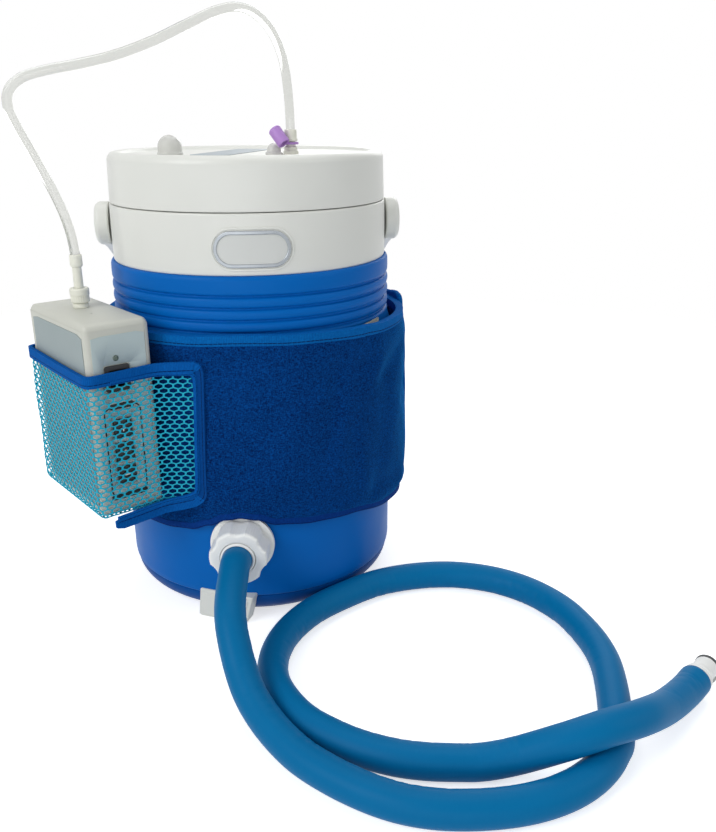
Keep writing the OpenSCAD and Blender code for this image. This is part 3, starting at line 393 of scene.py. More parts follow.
class Finish:
    """A material with its shader, and the nodes that colour and roughen it."""

    def __init__(self, name, roughness=0.5, **plain):
        self.material = bpy.data.materials.new(name)
        self.material.use_nodes = True
        self.tree = self.material.node_tree
        self.shader = self.tree.nodes["Principled BSDF"]
        self.shader.inputs["Roughness"].default_value = roughness
        for key, value in plain.items():
            self.shader.inputs[key.replace("_", " ")].default_value = value

    def node(self, kind, settings=None, inputs=None, output=0):
        made = self.tree.nodes.new(kind)
        for key, value in (settings or {}).items():
            setattr(made, key, value)
        for key, value in (inputs or {}).items():
            if isinstance(value, Wire):
                self.tree.links.new(value.socket, made.inputs[key])
            else:
                made.inputs[key].default_value = value
        return Wire(self, made.outputs[output])

    def grain(self, scale, detail, stretch=(1, 1, 1)):
        """Noise in the object's own space."""
        here = self.node("ShaderNodeTexCoord", output="Object")
        at = self.node("ShaderNodeMapping", None, {"Vector": here, "Scale": stretch})
        return self.node("ShaderNodeTexNoise", None, {"Vector": at, "Scale": scale, "Detail": detail})

    def mix(self, share, low, high):
        made = self.tree.nodes.new("ShaderNodeMix")
        made.data_type = "RGBA"
        sockets = {"Factor": share, "A": low, "B": high}
        for socket in made.inputs:
            if socket.name in sockets and (socket.name == "Factor" and socket.type == "VALUE"
                                           or socket.type == "RGBA"):
                value = sockets[socket.name]
                if isinstance(value, Wire):
                    self.tree.links.new(value.socket, socket)
                else:
                    socket.default_value = value
        return Wire(self, [s for s in made.outputs if s.type == "RGBA"][0])

    def feed(self, name, wire):
        self.tree.links.new(wire.socket, self.shader.inputs[name])

    def bump(self, height, strength, distance):
        made = self.node("ShaderNodeBump", None, {
            "Height": height, "Strength": strength, "Distance": distance})
        self.feed("Normal", made)

    def on(self, *pieces):
        for piece in pieces:
            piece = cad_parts[piece] if isinstance(piece, str) else piece
            if piece.material_slots:
                for slot in piece.material_slots:
                    slot.material = self.material
            else:
                piece.data.materials.append(self.material)


# %% [markdown]
# ## Moulded plastics
# Blown or injected plastic is never one flat colour. Its wall is a little thicker here and
# thinner there, so the tone drifts, its skin has a very fine satin grain, and the gloss changes
# with handling. Slow noise drives the tone and the gloss, and fine noise drives the bump.

# %% Plastic finishes
def moulded(name, light, dark, gloss=0.38, grain=0.10, **plain):
    finish = Finish(name, gloss, **plain)
    drift = finish.grain(14, 3)
    finish.feed("Base Color", finish.mix(drift, linear(dark), linear(light)))
    finish.feed("Roughness", finish.grain(55, 3) * 0.14 + (gloss - 0.07))
    finish.bump(finish.grain(1500, 1), grain, 0.00012)
    return finish


jug_blue = moulded("jug_blue_plastic", "#0067BC", "#005EB0", 0.42, 0.12, Specular_IOR_Level=0.08)
base_blue = moulded("base_blue_plastic", "#00509C", "#00448A", 0.46, 0.18, Specular_IOR_Level=0.08)
white_shell = moulded("white_shell_plastic", "#E3E4DE", "#DBDCD6", 0.36, 0.12)
white_fitting = moulded("white_fitting_plastic", "#F3F4F2", "#EBECEA", 0.42, 0.16)
ivory_fitting = moulded("ivory_fitting_plastic", "#EAEADE", "#E1E1D3", 0.40, 0.10)
box_grey = moulded("box_grey_plastic", "#CBCCC2", "#C1C2B8", 0.46, 0.30)
key_black = moulded("key_black_plastic", "#1B1C1E", "#131416", 0.5, 0.3)
dark_ring = moulded("dark_ring_plastic", "#3A3D40", "#2C2F32", 0.4, 0.2)
latch_grey = moulded("latch_grey_plastic", "#B9BBB9", "#A9ABA9", 0.4, 0.2)
plate_grey = moulded("plate_grey_film", "#95A1A2", "#8B9899", 0.5, 0.22)
keypad_grey = moulded("keypad_grey_film", "#BAC9C9", "#B1C0C0", 0.5, 0.22)
lid_plate_film = moulded("lid_plate_film", "#8C9AA3", "#7C8A94", 0.34, 0.15)
badge_face = moulded("badge_face_film", "#D9DBD8", "#CFD1CE", 0.6, 0.08, Specular_IOR_Level=0.1)
purple_rubber = moulded("purple_cap_rubber", "#B78DD2", "#A97BC6", 0.45, 0.12)
seal_rubber = moulded("seal_rubber", "#2C2C2C", "#222222", 0.7, 0.3)
liner_white = moulded("liner_white_plastic", "#E8E8E4", "#DFDFDA", 0.36, 0.08)
foam_cream = moulded("insulating_foam", "#E8D79A", "#D8C584", 0.85, 0.6)
board_green = moulded("board_green_lacquer", "#1B6B3A", "#145A2F", 0.35, 0.1)
lens_green = moulded("indicator_lens", "#51645A", "#414F48", 0.2, 0.05)
print("plastics:", len(bpy.data.materials))

# %% [markdown]
# ## Metal, clear plastic, foam skin and cloth
# The badge ring is bright drawn metal, so its roughness runs in fine lines. The clear pieces
# let light through a milky wall. The foam skin of the hose is satin, with fine lines across it
# that are a little lighter in colour, a painted highlight. Felt is a fluff of crossed fibres: two
# noises stretched different ways. Tape is ribbed across its length, its rib crests are painted
# lighter as a painted highlight, and its stitches are dashes on a line that is sunk into the ribs.
# The pocket tape is darkened with painted shade where it lies on the felt.

# %% Metal, clear and cloth finishes
def plain_finish(name, colours, drift, rough, **plain):
    """drift is the (scale, detail) of the colour's noise, and rough is (noise, its share, least)."""
    finish = Finish(name, **plain)
    finish.feed("Base Color", finish.mix(finish.grain(*drift), *(linear(c) for c in colours)))
    finish.feed("Roughness", finish.grain(*rough[0]) * rough[1] + rough[2])
    return finish


badge_metal = plain_finish("badge_ring_metal", ("#8C9298", "#A9AFB4"), (60, 3),
                           ((900, 1, (0.05, 0.05, 4)), 0.2, 0.22), Metallic=0.85)
pump_metal = plain_finish("pump_can_metal", ("#9A9C9E", "#B6B8BA"), (40, 3),
                          ((700, 1, (1, 1, 0.05)), 0.25, 0.2), Metallic=0.9)
clear_tube = plain_finish("clear_tube_wall", ("#D9DAD6", "#E6E7E3"), (25, 2),
                          ((120, 2), 0.06, 0.03), Transmission_Weight=0.9, IOR=1.38)
milky_dome = plain_finish("milky_dome_plastic", ("#DEDED9", "#E8E8E4"), (60, 2),
                          ((200, 2), 0.12, 0.16), Transmission_Weight=0.25, IOR=1.42)


def hose_finish():
    finish = Finish("hose_foam_skin", 0.55, Specular_IOR_Level=0.08)
    along = finish.node("ShaderNodeUVMap", {"uv_map": "along"})
    slow = finish.grain(9, 3)
    base = finish.mix(slow, linear("#006195"), linear("#0070A8"))
    fine = finish.node("ShaderNodeTexNoise", None, {
        "Vector": finish.node("ShaderNodeMapping", None, {"Vector": along, "Scale": (1, 0.012, 1)}),
        "Scale": 700, "Detail": 3})
    # Painted highlight: the fine lines are mixed towards a lighter blue, on the small ridges that the bump
    # also makes.
    finish.feed("Base Color", finish.mix(fine * 0.3, base, linear("#0A76A8")))
    finish.feed("Roughness", slow * 0.16 + 0.36)
    finish.bump(fine * 0.6 + finish.grain(2600, 1) * 0.4, 0.16, 0.0003)
    return finish


def felt_finish(name, low, high, fuzz, sheen=0.0):
    finish = Finish(name, 0.92, Sheen_Weight=sheen, Sheen_Roughness=0.4, Sheen_Tint=linear("#0C80C8"))
    finish.shader.inputs["Specular IOR Level"].default_value = 0.04
    one = finish.grain(480, 3, (1, 1, 3.0))
    two = finish.grain(600, 3, (2.4, 2.4, 1))
    slow = finish.grain(22, 3)
    fibres = one * 0.5 + two * 0.5
    speckle = (fibres - 0.5) * 5.0 + 0.5
    finish.feed("Base Color", finish.mix(speckle * 0.7 + slow * 0.3, linear(low), linear(high)))
    finish.feed("Roughness", fibres * 0.2 + 0.78)
    finish.bump(fibres * 0.7 + finish.grain(1700, 2) * 0.3, fuzz, 0.0009)
    return finish


def tape_finish(name, low, high, lines, rib_highlight=0.5, painted_shade_run=None):
    """Ribbed tape with stitched lines. U runs along it in metres, V goes once round it.
    Each line is (V, first U, last U), and the last argument is the first and last U of a run darkened with
    painted shade."""
    finish = Finish(name, 0.85, Sheen_Weight=0.15, Sheen_Roughness=0.5, Sheen_Tint=linear("#1478C8"))
    finish.shader.inputs["Specular IOR Level"].default_value = 0.06
    along = finish.node("ShaderNodeUVMap", {"uv_map": "along"})
    parts = finish.tree.nodes.new("ShaderNodeSeparateXYZ")
    finish.tree.links.new(along.socket, parts.inputs[0])
    u, v = Wire(finish, parts.outputs[0]), Wire(finish, parts.outputs[1])
    ribs = (u * (2 * math.pi / 0.0011)).sine() * 0.5 + 0.5
    dash = ((u / 0.0032) % 1.0) < 0.66
    seam = None
    for at, first, last in lines:
        line = ((v - at).size() < 0.014) * (u > first) * (u < last)
        seam = line if seam is None else seam + line
    stitch = seam * (dash * 0.35 + 0.65)
    wear = finish.grain(38, 3)
    fluff = (finish.grain(750, 3) - 0.5) * 3.0 + 0.5
    # Painted highlight: the rib crests are mixed towards the lighter colour, on the rib relief that the bump
    # below also makes. Each tape sets its own share of it.
    body = finish.mix(ribs * rib_highlight + (wear * 0.5 + fluff * 0.5) * (1 - rib_highlight), linear(low), linear(high))
    # Painted shade: this run of the tape is mixed towards a deep blue.
    if painted_shade_run:
        run = (u > painted_shade_run[0]) * (u < painted_shade_run[1])
        body = finish.mix(run * 0.6, body, linear("#02306E"))
    finish.feed("Base Color", finish.mix(stitch * 0.85, body, linear("#04133C")))
    finish.feed("Roughness", ribs * 0.12 + 0.74)
    finish.bump(ribs * 0.5 + finish.grain(1500, 2) * 0.5 - seam * 1.3 + stitch * 0.8, 0.45, 0.0005)
    return finish


hose_skin = hose_finish()
wrap_felt = felt_finish("wrap_felt", "#001544", "#044690", 0.6, 1.0)
hook_felt = felt_finish("hook_strip_pile", "#8E8C80", "#B0AEA2", 0.6)
edge_tape = tape_finish("edge_tape_blue", "#004890", "#0470BE", [(0.165, -1, 9)], 0.4)
low_edge_tape = tape_finish("low_edge_tape_blue", "#002264", "#063E8C", [(0.13, -1, 9)], 0.2)
# From U 0.228 to 0.322 m the pocket tape lies down on the felt, and there it is darkened with painted shade.
pocket_tape = tape_finish("pocket_tape_blue", "#00458E", "#0660B2",
                          [(0.16, -1, 0.226), (0.33, 0.228, 0.324), (0.16, 0.326, 9)], 0.4, (0.228, 0.322))

net_yarn = Finish("net_yarn_teal", 0.6, Specular_IOR_Level=0.15)
twist = net_yarn.grain(2300, 2)
net_yarn.feed("Base Color", net_yarn.mix(twist * 0.6 + net_yarn.grain(30, 2) * 0.4,
                                         linear("#0A9CBC"), linear("#30BCD4")))
net_yarn.feed("Roughness", twist * 0.2 + 0.5)
net_yarn.bump(twist, 0.4, 0.0003)
hose_skin.on(hose)
clear_tube.on(air_tube)
print("finishes:", len(bpy.data.materials))

# %% [markdown]
# ## Turning a shape on a lathe
# Most of this machine is round: the jug, its lid, the knobs and every fitting. Each is made as
# on a lathe. One vertex is drawn out into half a section, corner by corner, and the section is
# spun round the axis. Corners get a small radius first, because moulded edges are never sharp,
# and it is that radius which catches the light.

# %% Lathe helper
def rounded(points, radius):
    """The closed line through points, with each corner turned into a small arc."""
    made = []
    count = len(points)
    for i, p in enumerate(points):
        before, here, after = (Vector(points[(i + k) % count]) for k in (-1, 0, 1))
        on_axis = here.x < 1e-9
        a, b = before - here, after - here
        cut = min(radius, a.length * 0.45, b.length * 0.45)
        if on_axis or cut < 1e-6:
            made.append(tuple(here))
            continue
        start, end = here + a.normalized() * cut, here + b.normalized() * cut
        for t in (0, 0.25, 0.5, 0.75, 1):
            made.append(tuple((1 - t) ** 2 * start + 2 * t * (1 - t) * here + t * t * end))
    return made


def choose(*pieces):
    """Selects these pieces and nothing else, the first of them as the active one."""
    bpy.ops.object.select_all(action="DESELECT")
    for piece in pieces:
        piece.select_set(True)
    if pieces:
        bpy.context.view_layer.objects.active = pieces[0]


def to_edit(piece):
    choose(piece)
    bpy.ops.object.mode_set(mode="EDIT")
    bpy.ops.mesh.select_all(action="SELECT")


def smooth(piece, angle=40):
    choose(piece)
    bpy.ops.object.shade_smooth_by_angle(angle=math.radians(angle))
    choose()
    return piece


def leave_edit(piece, angle=32):
    bpy.ops.object.mode_set(mode="OBJECT")
    smooth(piece, angle)


def apply_modifiers(piece):
    choose(piece)
    for modifier in list(piece.modifiers):
        bpy.ops.object.modifier_apply(modifier=modifier.name)
    choose()


def join(first, *others):
    choose(first, *others)
    bpy.ops.object.join()
    choose()
    return first


def lathe(name, points, place=None, soft=0.8, steps=128):
    """Spins a closed section of (radius, height) points in mm round Z, then puts it in place."""
    line = rounded([(r * MM, h * MM) for r, h in points], soft * MM)
    line.append(line[0])
    choose()
    bpy.ops.mesh.primitive_plane_add(size=0.001, location=(line[0][0], 0, line[0][1]))
    piece = bpy.context.object
    piece.name = name
    bpy.ops.object.transform_apply(location=True, rotation=True, scale=True)
    to_edit(piece)
    bpy.ops.mesh.merge(type="CENTER")
    for a, b in zip(line, line[1:]):
        bpy.ops.mesh.extrude_region_move(
            TRANSFORM_OT_translate={"value": (b[0] - a[0], 0, b[1] - a[1])})
    bpy.ops.mesh.select_all(action="SELECT")
    bpy.ops.mesh.spin(steps=steps, angle=2 * math.pi, center=(0, 0, 0), axis=(0, 0, 1))
    bpy.ops.mesh.select_all(action="SELECT")
    bpy.ops.mesh.remove_doubles(threshold=0.000004)
    bpy.ops.mesh.normals_make_consistent(inside=False)
    leave_edit(piece)
    if place:
        piece.data.transform(place)
    return piece


def arc(cx, cy, r, start, end, count=8):
    turn = [math.radians(start + (end - start) * i / count) for i in range(count + 1)]
    return [(cx + r * math.cos(a), cy + r * math.sin(a)) for a in turn]


def dress(piece, body, nodes, finish):
    """Gives a piece its body, the nodes it stands in for and its material."""
    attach(piece, body)
    if nodes:
        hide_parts(*nodes)
    finish.on(piece)
    return piece


def turned(degrees, axis):
    return Matrix.Rotation(math.radians(degrees), 4, axis)


def moved(x, y, z):
    return Matrix.Translation((x * MM, y * MM, z * MM))


def outward(azimuth, radius, height):
    """Local Z points away from the jug, X down and Y round it."""
    return turned(azimuth, "Z") @ moved(radius, 0, height) @ turned(90, "Y")


# %% [markdown]
# ## The jug's barrel and base
# The barrel is blown plastic with four soft grooves under the collar that stiffen it. A groove
# here is a dip of six points, and the band between two grooves bulges a little, because blown
# walls are never quite straight. The base is a separate cap that turns in to a rounded foot.

# %% Barrel and base
NECK_R, COLLAR_R = 103.7, 101.2
groove_heights = (242.4, 234.2, 226.0, 217.8)


def groove(z):
    return [(NECK_R, z + 2.4), (NECK_R - 0.45, z + 1.3), (NECK_R - 2.3, z + 0.5),
            (NECK_R - 2.3, z - 0.5), (NECK_R - 0.45, z - 1.3), (NECK_R, z - 2.4)]


section = [(97.6, 255.9), (101.8, 255.9), (103.1, 255.0), (103.7, 253.2), (103.8, 248)]
for number, z in enumerate(groove_heights):
    section += groove(z)
    if number < 3:
        section.append((NECK_R + 0.25, z - 4.1))
section += [(103.7, 213), (104.4, 210), (105.6, 206.5), (105.8, 203), (105.8, 60), (105.7, 24),
            (105.3, 20.5), (104.2, 19.2), (102.4, 19.2), (103.4, 26), (103.4, 204), (100.6, 211), (97.6, 250)]
barrel = lathe("jug_barrel", section, soft=0.7, steps=176)
dress(barrel, "jug", ["barrel_shell"], jug_blue)
base = lathe("jug_base", [(0, 0.0), (86, 0.0), (90.4, 0.9)] + arc(89, 19, 15.4, -58, 0, 7)
             + [(102, 19.3), (88, 5), (0, 4)], soft=0.5, steps=176)
dress(base, "jug", ["base_cap"], base_blue)
print("barrel and base:", len(barrel.data.polygons) + len(base.data.polygons), "faces")

# %% [markdown]
# ## Collar and lid
# The white collar carries the handle and the badge. The lid's side leans in very slightly, its
# rim is rounded over, and its top is a shallow dish that keeps the fittings from being knocked.

# %% Collar and lid
collar = lathe("jug_collar", [(98.6, 255.9), (100.8, 255.9), (101.2, 257.2), (101.25, 275),
                              (101.1, 294.9), (100.4, 295.8), (90.3, 295.8), (90.3, 293.2), (98.6, 293.2)],
               soft=0.6, steps=176)
dress(collar, "jug", ["collar_ring"], white_shell)
lid = lathe("lid_cover", [(97.4, 296.4), (100.3, 296.4), (100.6, 297.4), (100.3, 312), (99.9, 323.6)]
            + arc(94.0, 325.2, 5.9, 8, 86, 9)
            + [(92.8, 331.0), (91.2, 330.4), (89.8, 328.9), (87.6, 328.1), (0, 328.1), (0, 325.5),
               (93, 325.5), (97.4, 321)], soft=0.7, steps=176)
dress(lid, "lid", ["lid_shell"], white_shell)
white_shell.on("lid_plug")
liner_white.on("vessel_liner")
foam_cream.on("jug_foam", "lid_foam")
seal_rubber.on("lid_gasket", "outlet_gasket")
print("collar and lid are on")

# %% [markdown]
# ## Plates with any outline
# The badge, the labels and the keys are flat pieces with rounded outlines. A circle of vertices
# is moved onto the outline, inset a few times so that the face can bend, and drawn out to its
# thickness. Bending a plate round the jug is then a matter of turning X into an angle.

# %% Plate helper
def stadium(width, height, count=64):
    """Points round a shape with straight sides and half round ends, in mm."""
    return fitted_corners(width, height, height / 2, count)


def fitted_corners(width, height, r, count=48):
    """Points evenly round a rectangle with corner radius r, centred, in mm."""
    x, y = width / 2 - r, height / 2 - r
    line = []
    for cx, cy, start in ((x, y, 0), (-x, y, 90), (-x, -y, 180), (x, -y, 270)):
        line += arc(cx, cy, r, start, start + 90, 8)
    closed = line + [line[0]]
    way = way_along(closed)
    made, i = [], 0
    for k in range(count):
        want = way[-1] * k / count
        while way[i + 1] < want:
            i += 1
        share = (want - way[i]) / max(way[i + 1] - way[i], 1e-9)
        a, b = closed[i], closed[i + 1]
        made.append((a[0] + (b[0] - a[0]) * share, a[1] + (b[1] - a[1]) * share))
    return made


def plate(name, line, thick, insets=(), hollow=False, edge=0.25, place=None):
    """A plate in XY whose top is at Z = thick. hollow keeps only the outer inset's frame."""
    choose()
    bpy.ops.mesh.primitive_circle_add(vertices=len(line), radius=0.01, fill_type="NGON")
    piece = bpy.context.object
    piece.name = name
    for vertex, (x, y) in zip(piece.data.vertices, line):
        vertex.co = (x * MM, y * MM, 0)
    to_edit(piece)
    for size in insets:
        bpy.ops.mesh.inset(thickness=size * MM, use_even_offset=True)
    if hollow:
        bpy.ops.mesh.delete(type="FACE")
    bpy.ops.mesh.select_all(action="SELECT")
    bpy.ops.mesh.extrude_region_move(TRANSFORM_OT_translate={"value": (0, 0, thick * MM)})
    bpy.ops.mesh.select_all(action="SELECT")
    bpy.ops.mesh.normals_make_consistent(inside=False)
    leave_edit(piece)
    if edge:
        bevel = piece.modifiers.new("edge", "BEVEL")
        bevel.width, bevel.segments = edge * MM, 2
        bevel.limit_method, bevel.angle_limit = "ANGLE", math.radians(50)
        apply_modifiers(piece)
    if place:
        piece.data.transform(place)
    return piece


def bend_round(piece, radius, azimuth, height):
    """X becomes the way round the jug, Y the height and Z the distance from the skin."""
    for vertex in piece.data.vertices:
        x, y, z = vertex.co
        angle = math.radians(azimuth) + x / (radius * MM)
        r = radius * MM + z
        vertex.co = (r * math.cos(angle), r * math.sin(angle), height * MM + y)
    piece.data.update()
    return piece


# %% [markdown]
# ## The badge
# A metal ring frames a plain plate, on a border that is moulded into the collar. The plate is cut
# into narrow upright strips before it is bent, so that it follows the collar all the way.

# %% Badge
BADGE_AZ, BADGE_Z = -89.6, 273.2
ring = plate("badge_ring", stadium(50.6, 23.6, 72), 1.3, (2.3,), hollow=True, edge=0.4)
dress(bend_round(ring, COLLAR_R, BADGE_AZ, BADGE_Z), "jug", ["badge_ring_frame"], badge_metal)
face = plate("badge_face", stadium(46.4, 19.4, 72), 0.6, (1.6, 1.9, 2.1, 2.1), edge=0)
to_edit(face)
for x in range(-22, 24, 2):
    bpy.ops.mesh.select_all(action="SELECT")
    bpy.ops.mesh.bisect(plane_co=(x * MM, 0, 0), plane_no=(1, 0, 0))
leave_edit(face)
dress(bend_round(face, COLLAR_R, BADGE_AZ, BADGE_Z), "jug", ["badge_plate"], badge_face)
border = plate("badge_border", stadium(55.4, 28.2, 72), 0.5, (1.5,), hollow=True, edge=0.22)
dress(bend_round(border, COLLAR_R, BADGE_AZ, BADGE_Z), "jug", [], white_shell)
print("badge is on at", BADGE_Z, "mm")

# %% [markdown]
# ## The handle
# The bail is one flat strap, bent round two corners, with an ear at each end that turns on a
# pin. It is modelled upright with its pivot at zero, so that a plain section can be carried
# along a plain path, and then turned down to where it hangs behind the jug.

# %% Handle
ARM_X, PIVOT_Z, REACH, CORNER, FOLDED = 109.3, 280.0, 125.05, 32.0, -112
folded = moved(0, 0, PIVOT_Z) @ turned(FOLDED, "X")


def strip_along(name, centres, faces_out, width, thick, soft, closed=False, wide=None):
    """Carries a rounded section along centres. faces_out points from the strip's flat face."""
    w, t = width / 2 * MM, thick / 2 * MM
    section = [(y, z) for y, z in rounded([(w, t), (-w, t), (-w, -t), (w, -t)], soft * MM)]
    made = bmesh.new()
    count = len(centres)
    rings = []
    for i, p in enumerate(centres):
        after = centres[(i + 1) % count] if closed or i < count - 1 else p
        before = centres[i - 1] if closed or i else p
        run = (after - before).normalized()
        out = (faces_out[i] - run * faces_out[i].dot(run)).normalized()
        side = run.cross(out)
        wider = wide(i) if wide else 1.0
        rings.append([made.verts.new(p + side * y * wider + out * z) for y, z in section])
    around = way_along(section + section[:1])
    return smooth(skinned(name, made, rings, way_along(centres + centres[:1]),
                          [a / around[-1] for a in around], closed))


bail_path = [Vector((-ARM_X, 0, z)) * MM for z in (11, 18, 28, 45, 65, REACH - CORNER)]
left_bend = arc(-ARM_X + CORNER, REACH - CORNER, CORNER, 180, 90, 12)
bail_path += [Vector((x, 0, z)) * MM for x, z in left_bend[1:]]
bail_path += [Vector((x, 0, REACH)) * MM for x in (-60, -40, -20, 0, 20, 40, 60)]
bail_path += [Vector((x, 0, z)) * MM for x, z in arc(ARM_X - CORNER, REACH - CORNER, CORNER, 90, 0, 12)]
bail_path += [Vector((ARM_X, 0, z)) * MM for z in (65, 45, 28, 18, 11)]
centre = Vector((0, 0, 0.05))
outs = [Vector((p.x, 0, 0)) if p.z < (REACH - CORNER) * MM else p - centre for p in bail_path]


def ear_taper(i):
    z = bail_path[i].z / MM
    return 1.0 + 0.75 * max(0.0, 1 - z / 40) ** 1.2


strap = strip_along("handle_bail", bail_path, outs, 15, 5.4, 1.6, wide=ear_taper)
EAR = [(5.1, -7.4), (14.9, -7.4), (15.6, -6.6), (15.6, 0.2), (13.6, 2.8), (8.6, 3.0), (8.3, 2.6),
       (8.3, 1.0), (5.1, 1.0)]
ears = [lathe("ear", EAR, moved(s * ARM_X, 0, 0) @ turned(s * 90, "Y"), soft=1.2, steps=64) for s in (-1, 1)]
grip_line = [(0, -46), (6.8, -46), (8.1, -44.5)]
for k in range(11):
    grip_line += [(8.1, -41 + 8 * k), (7.4, -40 + 8 * k), (7.4, -38.6 + 8 * k), (8.1, -37.6 + 8 * k)]
grip_line += [(8.1, 44.5), (6.8, 46), (0, 46)]
grip = lathe("grip", grip_line, moved(0, 0, REACH) @ turned(90, "Y"), soft=0.4, steps=64)
handle = join(strap, grip, *ears)
handle.data.transform(folded)
dress(handle, "handle", ["handle"], white_shell)
white_fitting.on("pivot_pins")
print("handle faces:", len(handle.data.polygons))

# %% [markdown]
# ## Fittings on the lid
# From left to right: a milky knob that vents the lid, a small clear dome over a one way valve,
# a stub for the air tube and a soft purple cap that hangs from the stub. All are turned, and
# the cap is a cup whose open end leans down to the right.

# %% Lid fittings
DISH, INLET_X, INLET_Y = 328.1, 31.3, -20
knob = lathe("vent_dome", [(0, -11), (3, -11), (3, 0.3), (9.0, 0.3), (9.0, 1.8), (8.5, 2.6)]
             + arc(0, 5.5, 8.5, 0, 90, 10), moved(-53.7, -20, DISH), soft=0.5, steps=64)
dress(knob, "vent_knob", ["vent_knob"], milky_dome)
valve = lathe("valve_dome", [(0, 0), (6.2, 0), (6.2, 1.5), (5.2, 2.1)] + arc(0, 3.0, 5, 0, 90, 8),
              moved(19.3, -20, DISH), soft=0.4, steps=56)
dress(valve, "lid", ["check_valve"], milky_dome)
stub = lathe("inlet_stub", [(2, -60), (3.2, -60), (3.2, 0), (5.4, 0), (5.4, 2.4), (4.6, 3.2), (4.6, 5.2),
                            (3.4, 5.8), (3.4, 9), (2, 9)], moved(INLET_X, INLET_Y, DISH), soft=0.35, steps=56)
dress(stub, "lid", ["air_inlet"], ivory_fitting)
end_ring = lathe("tube_end_ring", [(2, 337.1), (4.8, 337.1), (5.0, 338.6), (4.4, 339.4), (4.4, 344.6),
                                   (4.0, 345.2), (3.25, 345.2), (3.25, 341.2), (2, 341)],
                 moved(INLET_X, INLET_Y, 0), soft=0.3, steps=56)
dress(end_ring, "lid", ["tube_end_lid"], ivory_fitting)

cap_place = moved(22.9, -28, 340.6) @ turned(-35, "Z") @ turned(-40, "Y")
cap = lathe("cap_cup", [(0, 6.6), (3.9, 6.6), (4.6, 5.6), (4.5, -6.4), (3.4, -6.4), (3.3, 4.2), (0, 4.2)],
            cap_place, soft=0.5, steps=48)
TETHER = ((21.6, -26.9, 336.2), (23.2, -26.4, 335.4), (25.4, -24.8, 335.2), (27.2, -23.0, 335.4))
tether = strip_along("cap_tether", [Vector(p) * MM for p in TETHER], [Vector((0, 0, 1))] * 4, 3.0, 1.3, 0.4)
loop = lathe("cap_loop", [(3.45, 335), (5.6, 335), (5.6, 336.6), (3.45, 336.6)],
             moved(INLET_X, INLET_Y, 0), soft=0.3, steps=48)
dress(join(cap, tether, loop), "lid", ["port_cap"], purple_rubber)
label = plate("lid_label", fitted_corners(28, 112, 3), 0.5, (1.2,), edge=0.15,
              place=moved(-10.5, 26, DISH) @ turned(-18, "Z"))
dress(label, "lid", ["lid_plate"], lid_plate_film)
print("lid fittings are on")

# %% [markdown]
# ## The outlet's nut and the foot
# A lobed nut holds the hose to the jug. It is turned first, and then its outside is fluted: a
# vertex far from the axis sinks by an amount that depends only on its angle, so the flutes run
# straight from back to front. A plain ring closes the gap between nut and hose.

# %% Outlet pieces
OUT_AZ, OUT_Z = -98.3, 64.5
outlet = outward(OUT_AZ, 0, OUT_Z)
NUT_R, NOTCHES, NOTCH_R, NOTCH_DEPTH = 20.6, 6, 14.0, 1.9
nut = lathe("hose_nut_notched", [(13.6, 109.6), (19.4, 109.6), (20.5, 110.6), (20.6, 114.5), (20.5, 128.9),
                                 (19.9, 130.2), (18.8, 130.9), (12.6, 130.9), (12.6, 127), (13.6, 126.6)],
            soft=0.6, steps=360)
CORE_R, NOTCH_AT = 15.2, NUT_R + NOTCH_R - NOTCH_DEPTH
for vertex in nut.data.vertices:
    x, y, z = vertex.co
    r = math.hypot(x, y)
    if r > CORE_R * MM:
        turn = math.degrees(math.atan2(y, x)) % (360 / NOTCHES)
        turn = math.radians(min(turn, 360 / NOTCHES - turn))
        reach, out_to = NOTCH_AT * math.sin(turn), NOTCH_AT * math.cos(turn)
        sink = max(NUT_R - out_to + math.sqrt(NOTCH_R ** 2 - reach ** 2), 0.0) if reach < NOTCH_R else 0.0
        sink += 0.09 * (1 + math.sin(72 * math.atan2(y, x)))
        sink *= MM * min((r / MM - CORE_R) / 3.6, 1.0)
        vertex.co = (x * (1 - sink / r), y * (1 - sink / r), z)
nut.data.transform(outlet)
dress(nut, "hose_nut", ["hose_nut"], white_fitting)
collet = lathe("hose_ring", [(7, 125.9), (12.1, 125.9), (12.2, 130.9), (11.7, 132.1), (10.9, 132.4),
                             (10.35, 131.4), (7, 131.4)], outlet, soft=0.4, steps=72)
dress(collet, "jug", ["hose_collet"], white_fitting)
white_fitting.on("outlet_flange", "inner_nut")


def soft_box(name, size, radius, place, segments=5):
    """A block whose edges are all rounded, centred where place puts it."""
    choose()
    bpy.ops.mesh.primitive_cube_add(size=1)
    piece = bpy.context.object
    piece.name = name
    for vertex in piece.data.vertices:
        vertex.co = [c * s * MM for c, s in zip(vertex.co, size)]
    bevel = piece.modifiers.new("rounding", "BEVEL")
    bevel.width, bevel.segments, bevel.limit_method = radius * MM, segments, "NONE"
    apply_modifiers(piece)
    smooth(piece, 50)
    piece.data.transform(place)
    return piece


FOOT = [(-6.6, 1.4), (-4.6, 0.0), (31.5, 0.0), (33.0, 1.2), (38.4, 21.8), (37.6, 22.6), (-3.2, 23.6),
        (-4.2, 22.8)]
foot_frame = turned(-115, "Z") @ moved(95.6, 0, 0) @ turned(90, "Z") @ turned(90, "X")
foot = plate("front_foot_block", rounded(FOOT, 0.9), 11.2, edge=0.7, place=foot_frame)
tab_line = [(x * 0.86 + 1.6, y * 0.76 + 1.8) for x, y in rounded(FOOT, 1.6)]
tab = plate("foot_tab", tab_line, 11.7, edge=0.4, place=foot_frame)
dress(join(foot, tab), "jug", ["front_foot"], white_shell)
print("outlet and foot are on")

# %% [markdown]
# ## The coupling
# The hose ends in a plug-in coupling: a ribbed white body, a dark ring at its mouth and a small
# release latch at its side. The bore is part of the turned section, so the mouth is really open.

